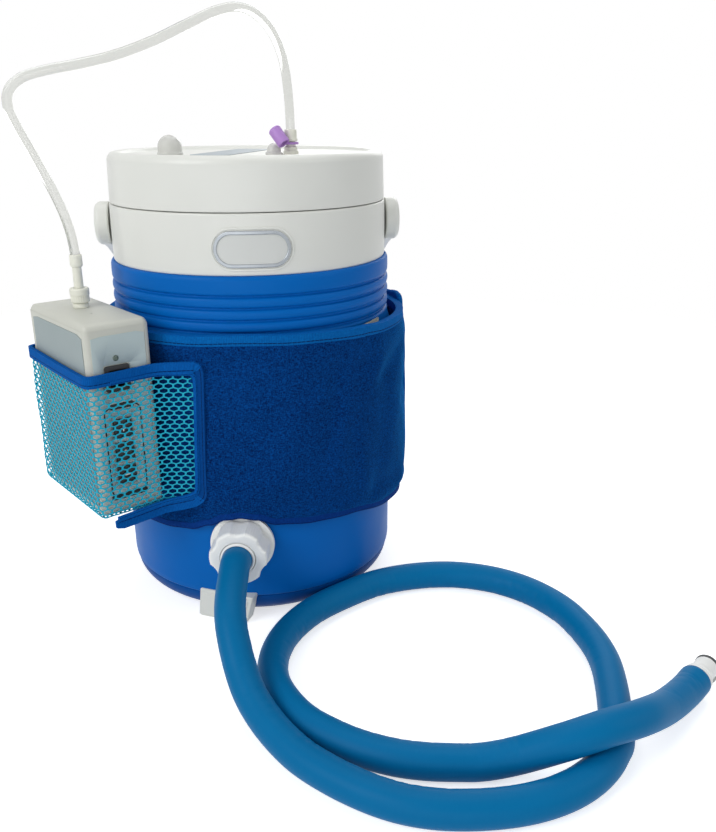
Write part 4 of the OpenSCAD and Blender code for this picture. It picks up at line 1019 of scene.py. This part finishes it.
# %% Coupling
tail = HOSE_POINTS[-1], HOSE_POINTS[-2]
tail_turn = math.degrees(math.atan2(tail[0][1] - tail[1][1], tail[0][0] - tail[1][0]))
mouth = Matrix.Translation(tail[0]) @ turned(tail_turn, "Z") @ turned(90, "Y")
body = lathe("coupling_shell", [(0, -0.3), (9.2, -0.3), (9.5, 0.6), (9.4, 1.8), (8.9, 2.2), (9.4, 2.6),
                                (9.4, 3.8), (8.9, 4.2), (9.4, 4.6), (9.3, 5.8), (8.4, 6.8), (8.2, 8.0),
                                (7.8, 9.0), (7.7, 18.5), (5.2, 18.5), (4.5, 17.8), (4.5, 4), (0, 4)],
             mouth, soft=0.3, steps=80)
dress(body, "jug", ["coupling_body"], white_fitting)
lip = lathe("coupling_mouth", [(5.2, 18.6), (8.1, 18.6), (8.2, 20.3), (7.6, 21), (5.7, 21), (5.2, 20.4)],
            mouth, soft=0.3, steps=80)
dress(lip, "jug", ["coupling_ring"], dark_ring)
latch_grey.on("coupling_latch")
print("coupling points", round(tail_turn, 1), "degrees round from +X")

# %% [markdown]
# ## The felt wrap
# The wrap is a band of soft laminate that is pulled round the jug and bows out at its right
# side. It is padded, so it is modelled as cloth: a single sheet held along both sewn edges,
# slightly too long for its place, is let go under a little pressure until it settles in shallow
# waves. Its lower edge is pushed up by the nut, so both edges follow a table of heights.

# %% Wrap sheet
WRAP_IN, WRAP_OUT = 106.2, 111.4
TOP_EDGE = ((-180, 216), (-150, 216), (-117, 216.8), (-95, 218.3), (-74, 217), (-46, 215), (-36, 213.8),
            (0, 214), (40, 216), (90, 218), (140, 217), (180, 216))
LOW_EDGE = ((-180, 72), (-130, 72), (-118, 74), (-110, 79), (-104, 84.5), (-98, 86.5), (-92, 84.5),
            (-85, 79.5), (-70, 77), (-55, 75.5), (-32, 69), (-10, 65.5), (25, 68), (60, 72), (120, 72),
            (180, 72))
BULGE = ((40, 0), (62, 0.6), (70, 4.6), (82, 8.0), (113, 9.2), (139, 9.3), (162, 8.3), (196, 6.2),
         (210, 4.6), (226, 3.4))


def between(table, a):
    """The value at a in a table of (place, value), along smooth steps."""
    for (x0, y0), (x1, y1) in zip(table, table[1:]):
        if a <= x1:
            t = (a - x0) / (x1 - x0)
            return y0 + (y1 - y0) * t * t * (3 - 2 * t)
    return table[-1][1]


def wrap_off(a, z):
    """How far the band stands off the jug. It bellies out at its right side."""
    return between(BULGE, z) * math.exp(-((a + 12) / 30) ** 2)


def nut_lift(a):
    """How far the nut pushes the lower edge outwards."""
    return 1.8 * math.exp(-((a - OUT_AZ) / 9) ** 2)


def round_jug(azimuth, radius, z):
    a = math.radians(azimuth)
    return Vector((radius * math.cos(a), radius * math.sin(a), z)) * MM


def away_from_axis(line):
    """For each point of the line, the level direction from the jug's axis to it."""
    return [Vector((p.x, p.y, 0)).normalized() for p in line]


COLUMNS, ROWS = 240, 36
bpy.ops.mesh.primitive_grid_add(x_subdivisions=COLUMNS, y_subdivisions=ROWS, size=1)
wrap = bpy.context.object
wrap.name = "wrap_felt_band"
for vertex in wrap.data.vertices:
    az = -180 + (vertex.co.x + 0.5) * 360
    share = vertex.co.y + 0.5
    low_z, top_z = between(LOW_EDGE, az) + 4.0, between(TOP_EDGE, az) - 5.5
    z = low_z + (top_z - low_z) * share
    vertex.co = round_jug(az, WRAP_OUT - 0.5 + wrap_off(az, z) + nut_lift(az) * (1 - share) ** 3, z)
to_edit(wrap)
bpy.ops.mesh.remove_doubles(threshold=0.00002)
bpy.ops.mesh.normals_make_consistent(inside=False)
bpy.ops.object.mode_set(mode="OBJECT")
print("wrap sheet:", len(wrap.data.vertices), "points")

# %% Let the sheet settle
def settle(piece, sewn, frames, limit):
    """Runs cloth on a sheet that is held at its sewn points, and keeps each point near its start."""
    start = [v.co.copy() for v in piece.data.vertices]
    group = piece.vertex_groups.new(name="sewn")
    group.add(sewn, 1.0, "REPLACE")
    cloth = piece.modifiers.new("cloth", "CLOTH")
    how = cloth.settings
    how.vertex_group_mass = "sewn"
    how.quality, how.mass = 5, 0.25
    how.tension_stiffness = how.compression_stiffness = 12
    how.shear_stiffness, how.bending_stiffness = 4, 1.6
    how.shrink_min = -0.012
    how.use_pressure, how.uniform_pressure_force = True, 0.9
    how.effector_weights.gravity = 0
    cloth.point_cache.frame_start, cloth.point_cache.frame_end = 1, frames
    for number in range(1, frames + 1):
        bpy.context.scene.frame_set(number)
    bpy.context.view_layer.objects.active = piece
    bpy.ops.object.modifier_apply(modifier=cloth.name)
    bpy.context.scene.frame_set(1)
    moved_most = 0.0
    for vertex, home in zip(piece.data.vertices, start):
        step = vertex.co - home
        if step.length > limit * MM:
            vertex.co = home + step.normalized() * limit * MM
        moved_most = max(moved_most, step.length)
    print(piece.name, "moved at most", round(moved_most / MM, 2), "mm before the cap")


held = []
for vertex in wrap.data.vertices:
    az = math.degrees(math.atan2(vertex.co.y, vertex.co.x))
    z = vertex.co.z / MM
    if z < between(LOW_EDGE, az) + 6.5 or z > between(TOP_EDGE, az) - 6.5:
        held.append(vertex.index)
settle(wrap, held, 20, 2.6)

# %% [markdown]
# A hand has creased the felt to the left of the bow. Creases are long dents, so they are drawn
# as narrow valleys along a line, with a low swell beside each. The sheet then gets its
# thickness, which grows inwards, and smooth shading.

# %% Creases, thickness and edges of the wrap
CREASES = ((-63, 0.10, 3.2, 1.3, 95, 205), (-55, -0.05, 2.4, 0.9, 85, 160), (-38, 0.07, 4.5, 0.8, 80, 190))
for vertex in wrap.data.vertices:
    x, y, z = vertex.co
    az = math.degrees(math.atan2(y, x))
    radius = math.hypot(x, y)
    height = z / MM
    push = 0.35 * noise.noise(Vector((x * 14, y * 14, z * 20)))
    for where, slant, width, depth, low_end, high_end in CREASES:
        across = (az - where - slant * (height - 150)) / width
        fade = max(0.0, min((height - low_end) / 25, (high_end - height) / 25, 1.0))
        push += depth * fade * (0.5 * math.exp(-(across - 1.6) ** 2) - math.exp(-across ** 2))
    vertex.co = (x * (1 + push * MM / radius), y * (1 + push * MM / radius), z)
wall = wrap.modifiers.new("felt", "SOLIDIFY")
wall.thickness, wall.offset = 4.4 * MM, -1
apply_modifiers(wrap)
smooth(wrap, 60)
dress(wrap, "jug", ["wrap_sleeve"], wrap_felt)


def edge_ring(name, table, inset, middle, width=8.0):
    """Tape round the whole wrap, whose middle runs inset mm above the table's heights."""
    line = []
    for az in (-180 + i * 1.5 for i in range(240)):
        z = between(table, az) + inset
        line.append(round_jug(az, middle + wrap_off(az, z) + (nut_lift(az) if inset > 0 else 0), z))
    return strip_along(name, line, away_from_axis(line), width, 5.6, 2.3, closed=True)


top_tape = edge_ring("wrap_edge_top", TOP_EDGE, -3.6, (WRAP_IN + WRAP_OUT) / 2)
dress(top_tape, "jug", ["wrap_tape_top"], edge_tape)
low_tape = edge_ring("wrap_edge_low", LOW_EDGE, 2.5, (WRAP_IN + WRAP_OUT) / 2 + 0.1, 5.6)
dress(low_tape, "jug", ["wrap_tape_bottom"], low_edge_tape)
print("wrap faces:", len(wrap.data.polygons))

# %% [markdown]
# ## The overlapping end and the hook strip
# Behind the right side the band's end laps over itself. Its bound corner stands up a little
# above the edge, and a strip of grey hook pile looks out between the felt and the jug.

# %% Overlap and hook strip
FLAP_FROM, FLAP_TO, FLAP_R = 6, 66, 115.8
FLAP_TOP = ((4, 216.5), (8, 218.0), (12, 217.4), (16, 216.2), (22, 215.8), (34, 216), (68, 217))


def banded(name, start, end, step, radius, low_z, top_z, thick, finish, nodes, rows):
    """A curved band with its own thickness: low_z and top_z are functions of the azimuth."""
    count = round((end - start) / step)
    bpy.ops.mesh.primitive_grid_add(x_subdivisions=count, y_subdivisions=rows, size=1)
    piece = bpy.context.object
    piece.name = name
    for vertex in piece.data.vertices:
        az = start + (vertex.co.x + 0.5) * (end - start)
        share = vertex.co.y + 0.5
        z = low_z(az) + (top_z(az) - low_z(az)) * share
        ripple = 0.5 * noise.noise(Vector((az * 0.11, z * 0.045, 3.0)))
        vertex.co = round_jug(az, radius + wrap_off(az, z) + ripple, z)
    solid = piece.modifiers.new("thickness", "SOLIDIFY")
    solid.thickness, solid.offset = thick * MM, -1
    apply_modifiers(piece)
    to_edit(piece)
    bpy.ops.mesh.normals_make_consistent(inside=False)
    leave_edit(piece, 60)
    return dress(piece, "jug", nodes, finish)


flap = banded("wrap_end_flap", FLAP_FROM, FLAP_TO, 1.25, FLAP_R, lambda a: 77,
              lambda a: between(FLAP_TOP, a) - 3, 3.0, wrap_felt, ["wrap_overlap"], 26)


def on_flap(az, z):
    return round_jug(az, FLAP_R - 1.5 + wrap_off(az, z), z)


flap_line = [on_flap(FLAP_TO - i * 1.2, between(FLAP_TOP, FLAP_TO - i * 1.2) - 1.5) for i in range(48)]
flap_line += [on_flap(FLAP_FROM + 1.6 - 1.9 * math.sin(t), 216.0 - 2.6 * (1 - math.cos(t)) - 0.6)
              for t in (0.3, 0.8, 1.3)]
flap_line += [on_flap(FLAP_FROM - 0.3, 211 - i * 4.7) for i in range(28)]
flap_line += [on_flap(FLAP_FROM - 0.1 + 0.9 * t, 80.5 - 4.5 * t) for t in (0.4, 1.0)]
flap_line += [on_flap(FLAP_FROM + 3 + i * 1.2, 75.6) for i in range(48)]
flap_edge = strip_along("wrap_end_edge", flap_line, away_from_axis(flap_line), 7.0, 4.6, 2.0)
dress(flap_edge, "jug", [], edge_tape)
banded("hook_pile", -50, -35, 0.75, 106.4, lambda a: 192, lambda a: 213.7 + 0.22 * (a + 50), 1.2, hook_felt,
       ["hook_strip"], 6)
print("overlap is on")

# %% [markdown]
# ## The pump box
# The box is a plain grey case in two halves. One rounded block is made, copied, and each copy is
# cut at the joint with bisect, which leaves a fine line round the back. The windows for the
# switch and the keys, the socket's hole and a small one in the top are cut with a boolean, so that
# there is real depth behind them.

# %% Box halves
BOX_AZ, BOX_OUT, BOX_UP = -147, 112, 99
box_place = turned(BOX_AZ, "Z") @ moved(BOX_OUT, 0, BOX_UP)
BOX_D, BOX_W, BOX_H = 45.0, 93.0, 132.0
KEY_X, SWITCH_Z, SOCKET_Z, PORT = 25.6, 95.3, 116.0, (21.5, -10.5)
KEYS = (("key_upper", 60.7, "plus"), ("key_middle", 44.2, "dot"), ("key_lower", 27.7, "minus"))
KEY_SIDE, KEY_WINDOW = 12.8, 13.6
EDGE_R, TOP_ROUNDER, COVER_TO, CASE_FROM = 4.0, 1.5, 3.8, 4.1


def half(name, keep_front):
    """The case from its joint to the front, or the cover behind it. The top edges are rounder."""
    piece = soft_box(name, (BOX_D, BOX_W, BOX_H), EDGE_R, moved(BOX_D / 2, 0, BOX_H / 2), 7)
    for vertex in piece.data.vertices:
        from_top = BOX_H - vertex.co.z / MM
        if from_top < EDGE_R:
            vertex.co.z = (BOX_H - from_top * TOP_ROUNDER) * MM
    to_edit(piece)
    joint = CASE_FROM if keep_front else COVER_TO
    bpy.ops.mesh.bisect(plane_co=(joint * MM, 0, 0), plane_no=(1, 0, 0), use_fill=True,
                        clear_inner=keep_front, clear_outer=not keep_front)
    leave_edit(piece, 50)
    return piece


def cut(piece, cutter):
    """Takes the cutter's shape out of the piece."""
    take = piece.modifiers.new("cut", "BOOLEAN")
    take.operation, take.object, take.solver = "DIFFERENCE", cutter, "EXACT"
    apply_modifiers(piece)
    bpy.data.objects.remove(cutter)


case = half("box_case", True)
cut(case, soft_box("window", (15.4, 12, 15.8), 0.6, moved(KEY_X, BOX_W / 2, SWITCH_Z), 2))
cut(case, lathe("socket_hole", [(0, -7), (5.6, -7), (5.6, 7), (0, 7)],
                moved(BOX_D / 2, -BOX_W / 2, SOCKET_Z) @ turned(90, "X"), soft=0.1, steps=48))
cut(case, lathe("pin_hole", [(0, -4), (0.9, -4), (0.9, 4), (0, 4)], moved(24.2, 12.4, BOX_H),
                soft=0.05, steps=24))
for name, level_z, mark in KEYS:
    cut(case, soft_box("key_window", (KEY_WINDOW, 4.4, KEY_WINDOW), 0.6, moved(KEY_X, BOX_W / 2, level_z), 2))
smooth(case, 35)
case.data.transform(box_place)
dress(case, "jug", ["box_housing"], box_grey)
rear = half("box_rear", False)
rear.data.transform(box_place)
dress(rear, "jug", ["box_back_cover"], box_grey)
print("box faces:", len(case.data.polygons) + len(rear.data.polygons))

# %% [markdown]
# ## Plates, keys, lamp and air port of the box
# Both big faces carry a grey film. Three square keys stand in windows of their own inside a
# printed frame, so that they can sink when pressed, with a rocker switch and a small lamp above.
# The keys bear a plus, a dot and a minus.

# %% Films, keys and lamp
keypad_face = box_place @ moved(0, BOX_W / 2, 0) @ turned(-90, "X")
side_face = box_place @ moved(BOX_D, 0, BOX_H / 2) @ turned(90, "Z") @ turned(90, "X")
side_film = plate("side_film", fitted_corners(81, 118.8, 2), 0.4, (1.2,), edge=0.12,
                  place=side_face @ moved(2, 0, 0))
dress(side_film, "jug", ["box_side_plate"], plate_grey)
film = plate("keypad_film", fitted_corners(36.8, 116, 1.5), 0.4, (1.2,), edge=0.12,
             place=keypad_face @ moved(22.8, -66, 0))
cut(film, soft_box("gap", (17.8, 6, 18.2), 0.4, box_place @ moved(KEY_X, BOX_W / 2, SWITCH_Z), 2))
for name, level_z, mark in KEYS:
    cut(film, soft_box("key_gap", (KEY_WINDOW, 6, KEY_WINDOW), 0.6,
                       box_place @ moved(KEY_X, BOX_W / 2, level_z), 2))
dress(film, "jug", ["keypad_plate"], keypad_grey)
frame_line = plate("keypad_frame_line", fitted_corners(26.3, 63.7, 5, 72), 0.12, (1.0,), hollow=True, edge=0,
                   place=keypad_face @ moved(24.65, -44.6, 0.42))
bars = [plate("bar", fitted_corners(width, 4, 0.8, 24), 0.14, edge=0, place=keypad_face @ moved(x, -z, 0.42))
        for width, x, z in ((17, 24.5, 76.2), (26, 25.0, 12.8))]
dress(join(frame_line, *bars), "jug", [], key_black)
for name, level_z, mark in KEYS:
    key = plate(name + "_cap", fitted_corners(KEY_SIDE, KEY_SIDE, 1.4), 1.4, (1.1,), edge=0.45,
                place=keypad_face @ moved(KEY_X, -level_z, 0.1))
    dress(key, name, [name], key_black)
    lift = keypad_face @ moved(KEY_X, -level_z, 1.46)
    if mark == "dot":
        sign = plate(name + "_dot", fitted_corners(2.6, 2.6, 1.28, 24), 0.1, edge=0, place=lift)
    else:
        sign = plate(name + "_bar", fitted_corners(4.2, 0.9, 0.3, 24), 0.1, edge=0, place=lift)
        if mark == "plus":
            sign = join(sign, plate("upright", fitted_corners(0.9, 4.2, 0.3, 24), 0.1, edge=0, place=lift))
    dress(sign, name, [], white_shell)
lens = lathe("indicator_dome", [(0, -2), (2.0, -2), (2.0, 0.7), (1.2, 1.25), (0, 1.4)],
             box_place @ moved(KEY_X, BOX_W / 2, 108.6) @ turned(-90, "X"), soft=0.3, steps=32)
dress(lens, "jug", ["indicator_lens"], lens_green)
key_black.on("rocker_bezel", "power_rocker", "power_socket", "battery_pack")
print("films and keys are on")

# %% Air port
port_place = box_place @ moved(PORT[0], PORT[1], BOX_H)
port = lathe("port_ring", [(1.6, -8), (3.4, -8), (3.4, 0), (5.3, 0), (5.5, 0.5), (5.3, 2.7), (4.7, 3.2),
                           (3.4, 3.2), (3.4, 12), (1.6, 12)], port_place, soft=0.3, steps=56)
dress(port, "jug", ["box_port"], ivory_fitting)
union = lathe("union_nut_turned", [(3.6, 3.5), (5.8, 3.5), (6.2, 4.2), (6.2, 8.4), (6.5, 8.9), (6.5, 12.6),
                                   (6.0, 13.4), (3.6, 13.4)], soft=0.3, steps=144)
for vertex in union.data.vertices:
    x, y, z = vertex.co
    if math.hypot(x, y) > 5.6 * MM and z < 8.6 * MM:
        ridge = 1 - 0.03 * max(0.0, math.sin(24 * math.atan2(y, x)))
        vertex.co = (x * ridge, y * ridge, z)
union.data.transform(port_place)
dress(union, "jug", ["union_nut"], ivory_fitting)
box_end = lathe("tube_end_sleeve", [(1.6, 12.2), (3.2, 12.2), (3.1, 27.4), (3.9, 28.0), (4.2, 29.2),
                                    (4.1, 35.4), (3.6, 36.0), (1.6, 36)], port_place, soft=0.3, steps=56)
dress(box_end, "jug", ["tube_end_box"], ivory_fitting)
board_green.on("circuit_board")
pump_metal.on("air_pump", "box_screws")
print("air port is on")

# %% [markdown]
# ## The net pocket
# The pocket is warp knitted net with long six sided holes. One cell is drawn as a ring, repeated
# with array modifiers into a flat panel, and the panel is bent along the pocket's line: a
# point's X is the way along the line, its Y the height. The lower edge turns in under the box,
# and the sewn edge leans a little to the left on its way down.

# %% Pocket line
POCKET = [(-22, 66.1), (0, 49.3), (47.8, 49.3), (47.8, -49.3), (-9.6, -49.3)]
NET_LOW, NET_TOP = -1.5, 96.0


def filleted(points, radius):
    """A flat line through points with its corners rounded, as many short steps."""
    made = [Vector(points[0])]
    for before, here, after in zip(points, points[1:], points[2:]):
        b, h, a = Vector(before), Vector(here), Vector(after)
        start, end = h + (b - h).normalized() * radius, h + (a - h).normalized() * radius
        for k in range(9):
            t = k / 8
            made.append((1 - t) ** 2 * start + 2 * t * (1 - t) * h + t * t * end)
    made.append(Vector(points[-1]))
    return made


pocket_line = filleted(POCKET, 6.0)
pocket_steps = way_along(pocket_line)
POCKET_LENGTH = pocket_steps[-1]


def on_pocket(u, z, off=0.0):
    """A point u mm along the pocket's line, z mm above the box's underside and off mm outwards."""
    u = min(max(u, 0.0), POCKET_LENGTH)
    i = 0
    while i < len(pocket_steps) - 2 and pocket_steps[i + 1] < u:
        i += 1
    a, b = pocket_line[i], pocket_line[i + 1]
    p = a.lerp(b, (u - pocket_steps[i]) / (pocket_steps[i + 1] - pocket_steps[i]))
    run = (b - a).normalized()
    p = p + Vector((-run.y, run.x)) * off
    return box_place @ (Vector((p.x, p.y, z)) * MM)


def outward_at(u, z):
    return (on_pocket(u, z, 1.0) - on_pocket(u, z, 0.0)).normalized()


print("pocket line:", round(POCKET_LENGTH), "mm")

# %% Net panel
CELL, STRETCH, STRAND, NET_SHARE = 2.3, 1.62, 0.78, 0.5


def net_sheet(name, width, height):
    """A flat net of six sided rings, width by height mm, from its lower left corner."""
    choose()
    bpy.ops.mesh.primitive_circle_add(vertices=6, radius=CELL * MM, fill_type="NGON")
    piece = bpy.context.object
    piece.name = name
    bpy.ops.object.transform_apply(location=True, rotation=True, scale=True)
    to_edit(piece)
    bpy.ops.mesh.inset(thickness=STRAND / 2 * MM)
    bpy.ops.mesh.delete(type="FACE")
    bpy.ops.object.mode_set(mode="OBJECT")
    across = CELL * math.sqrt(3)
    columns, rows = math.ceil(width / (across * STRETCH)) + 2, math.ceil(height / (3 * CELL)) + 1
    for step, count in (((-across / 2, 1.5 * CELL, 0), 2), ((across, 0, 0), columns),
                        ((0, 3 * CELL, 0), rows)):
        repeat = piece.modifiers.new("repeat", "ARRAY")
        repeat.use_relative_offset, repeat.use_constant_offset = False, True
        repeat.constant_offset_displace = [c * MM for c in step]
        repeat.count = count
        repeat.use_merge_vertices, repeat.merge_threshold = True, 0.00002
    apply_modifiers(piece)
    piece.data.transform(Matrix.Diagonal((STRETCH, 1, 1, 1)))
    to_edit(piece)
    for at, away in (((0, 0, 0), (1, 0, 0)), ((width * MM, 0, 0), (-1, 0, 0)),
                     ((0, 0, 0), (0, 1, 0)), ((0, height * MM, 0), (0, -1, 0))):
        bpy.ops.mesh.select_all(action="SELECT")
        bpy.ops.mesh.bisect(plane_co=at, plane_no=away, clear_inner=True)
    bpy.ops.mesh.select_all(action="SELECT")
    bpy.ops.mesh.remove_doubles(threshold=0.00002)
    bpy.ops.object.mode_set(mode="OBJECT")
    return piece


def thicken(piece, thick):
    """Gives flat strands their thickness, half of it to each side."""
    yarn = piece.modifiers.new("yarn", "SOLIDIFY")
    yarn.thickness, yarn.offset = thick * MM, 0
    apply_modifiers(piece)
    return smooth(piece, 50)


TURN_IN, TURN_R, SEAM_LEAN = 11.0, 7, 4.0
NET_HIGH = NET_TOP - NET_LOW + TURN_IN
net = net_sheet("pocket_net", POCKET_LENGTH, NET_HIGH)
for vertex in net.data.vertices:
    u, v = vertex.co.x / MM, vertex.co.y / MM
    slack = 0.5 * noise.noise(Vector((u * 0.05, v * 0.06, 1.7)))
    if v < TURN_IN:
        t = math.radians(90 * (1 - v / TURN_IN))
        up, out = NET_LOW + TURN_R - TURN_R * math.sin(t), -TURN_R * (1 - math.cos(t))
    else:
        up = NET_LOW + TURN_R + (v - TURN_IN) * (NET_TOP - NET_LOW - TURN_R) / (NET_TOP - NET_LOW)
        out = slack
    lean = SEAM_LEAN * (1 - up / NET_TOP)
    vertex.co = on_pocket(lean + u * (POCKET_LENGTH - lean) / POCKET_LENGTH, up, out)
thicken(net, 0.6)
dress(net, "jug", ["pocket_net_front", "pocket_net_side", "pocket_net_seam", "pocket_net_rear"],
      net_yarn)
floor_net = net_sheet("pocket_net_floor", 42, 88)
for vertex in floor_net.data.vertices:
    x, y = vertex.co.x / MM, vertex.co.y / MM
    vertex.co = box_place @ (Vector((x - 1, y - 44, NET_LOW + 0.2)) * MM)
thicken(floor_net, 0.5)
dress(floor_net, "jug", ["pocket_floor"], net_yarn)
print("net faces:", len(net.data.polygons) + len(floor_net.data.polygons))

# %% [markdown]
# ## Binding of the pocket
# One ribbed tape is folded over the net's top edge, turns down on the wrap beside the seam, and
# runs out below the box to a free rounded tip. It is carried along a single path. A round cord
# of the same cloth lies in the angle between the tape and the net.

# %% Pocket tapes
def on_wrap(az, z, off):
    """A point on the felt, z mm above the box's underside and off mm proud of the felt."""
    return round_jug(az, WRAP_OUT + off, z + BOX_UP)


tape_line, tape_out = [], []
for k in range(96):
    u = POCKET_LENGTH * (1 - k / 95)
    if u < 5:
        break
    rise = 97.6 - 1.6 * math.sin(math.pi * min(u / POCKET_LENGTH * 1.4, 1.0))
    tape_line.append(on_pocket(u, rise, 0.3))
    tape_out.append(outward_at(u, rise))
rim_end = tape_out[-1]
radial = on_wrap(-108.5, 0, 1.0) - on_wrap(-108.5, 0, 0.0)
flange = [(-111.2, 97.9, 2.8), (-110.7, 97.4, 2.2), (-110.2, 96.2, 1.7), (-109.95, 94.4, 1.4),
          (-109.9, 92.0, 1.2)]
flange += [(-109.9 - i * 0.115, 88.0 - i * 5.3, 1.2) for i in range(15)]
flange += [(-111.6, 8.6, 1.2), (-111.7, 6.0, 1.3), (-112.1, 3.9, 1.6), (-112.9, 2.3, 2.4)]
for k, (az, z, off) in enumerate(flange):
    tape_line.append(on_wrap(az, z, off))
    share = min(1.0, 0.4 + k * 0.2, 0.4 + (len(flange) - 1 - k) * 0.2)
    tape_out.append(rim_end.lerp(radial.normalized(), share).normalized())
hem = ((8, 0.2), (13, -1.0), (18, -2.0), (24, -2.8), (30, -3.3), (37, -3.8), (45, -4.2), (53, -4.6),
       (61, -4.9), (66, -5.0))
for u, z in hem:
    tape_line.append(on_pocket(u, z, 0.6 + u * 0.012))
    tape_out.append(outward_at(u, z))
TIP, SEAM = len(tape_line) - 1, len(tape_line) - len(hem) - len(flange) // 2


def tape_width(i):
    """Narrower on the felt, where its inner edge is sewn under the net, and rounded at the tip."""
    return (1.0 if i < TIP else 0.6) - 0.2 * math.exp(-((i - SEAM) / 9.5) ** 6)


binding = strip_along("pocket_edge_tape", tape_line, tape_out, 8.2, 2.6, 1.25, wide=tape_width)
dress(binding, "jug", ["pocket_tape_rim", "pocket_tape_seam"], pocket_tape)
cord_line = [on_pocket(u, 93.6, 0.6) for u in (60, 50, 40, 30, 22, 15, 10, 6)]
cord_line += [on_pocket(u, z, 1.6) for u, z in ((3.4, 93.2), (2.0, 91.6), (1.5, 89))]
cord_line += [on_pocket(1.5 + i * 0.24, 84 - i * 5, 1.6) for i in range(15)]
CORD_END = ((5.3, 10.0), (6.1, 7.2), (8, 6.0), (10, 5.0), (14, 3.6), (24, 1.8), (36, 0.6), (50, -0.4),
            (64, -1.2))
cord_line += [on_pocket(u, z, 1.6) for u, z in CORD_END]
cord_out = [Vector((p.x + 0.09, p.y + 0.06, 0)).normalized() for p in cord_line]
welt = strip_along("pocket_welt", cord_line, cord_out, 3.0, 3.0, 1.3)
dress(welt, "jug", [], pocket_tape)
print("pocket tapes are on")
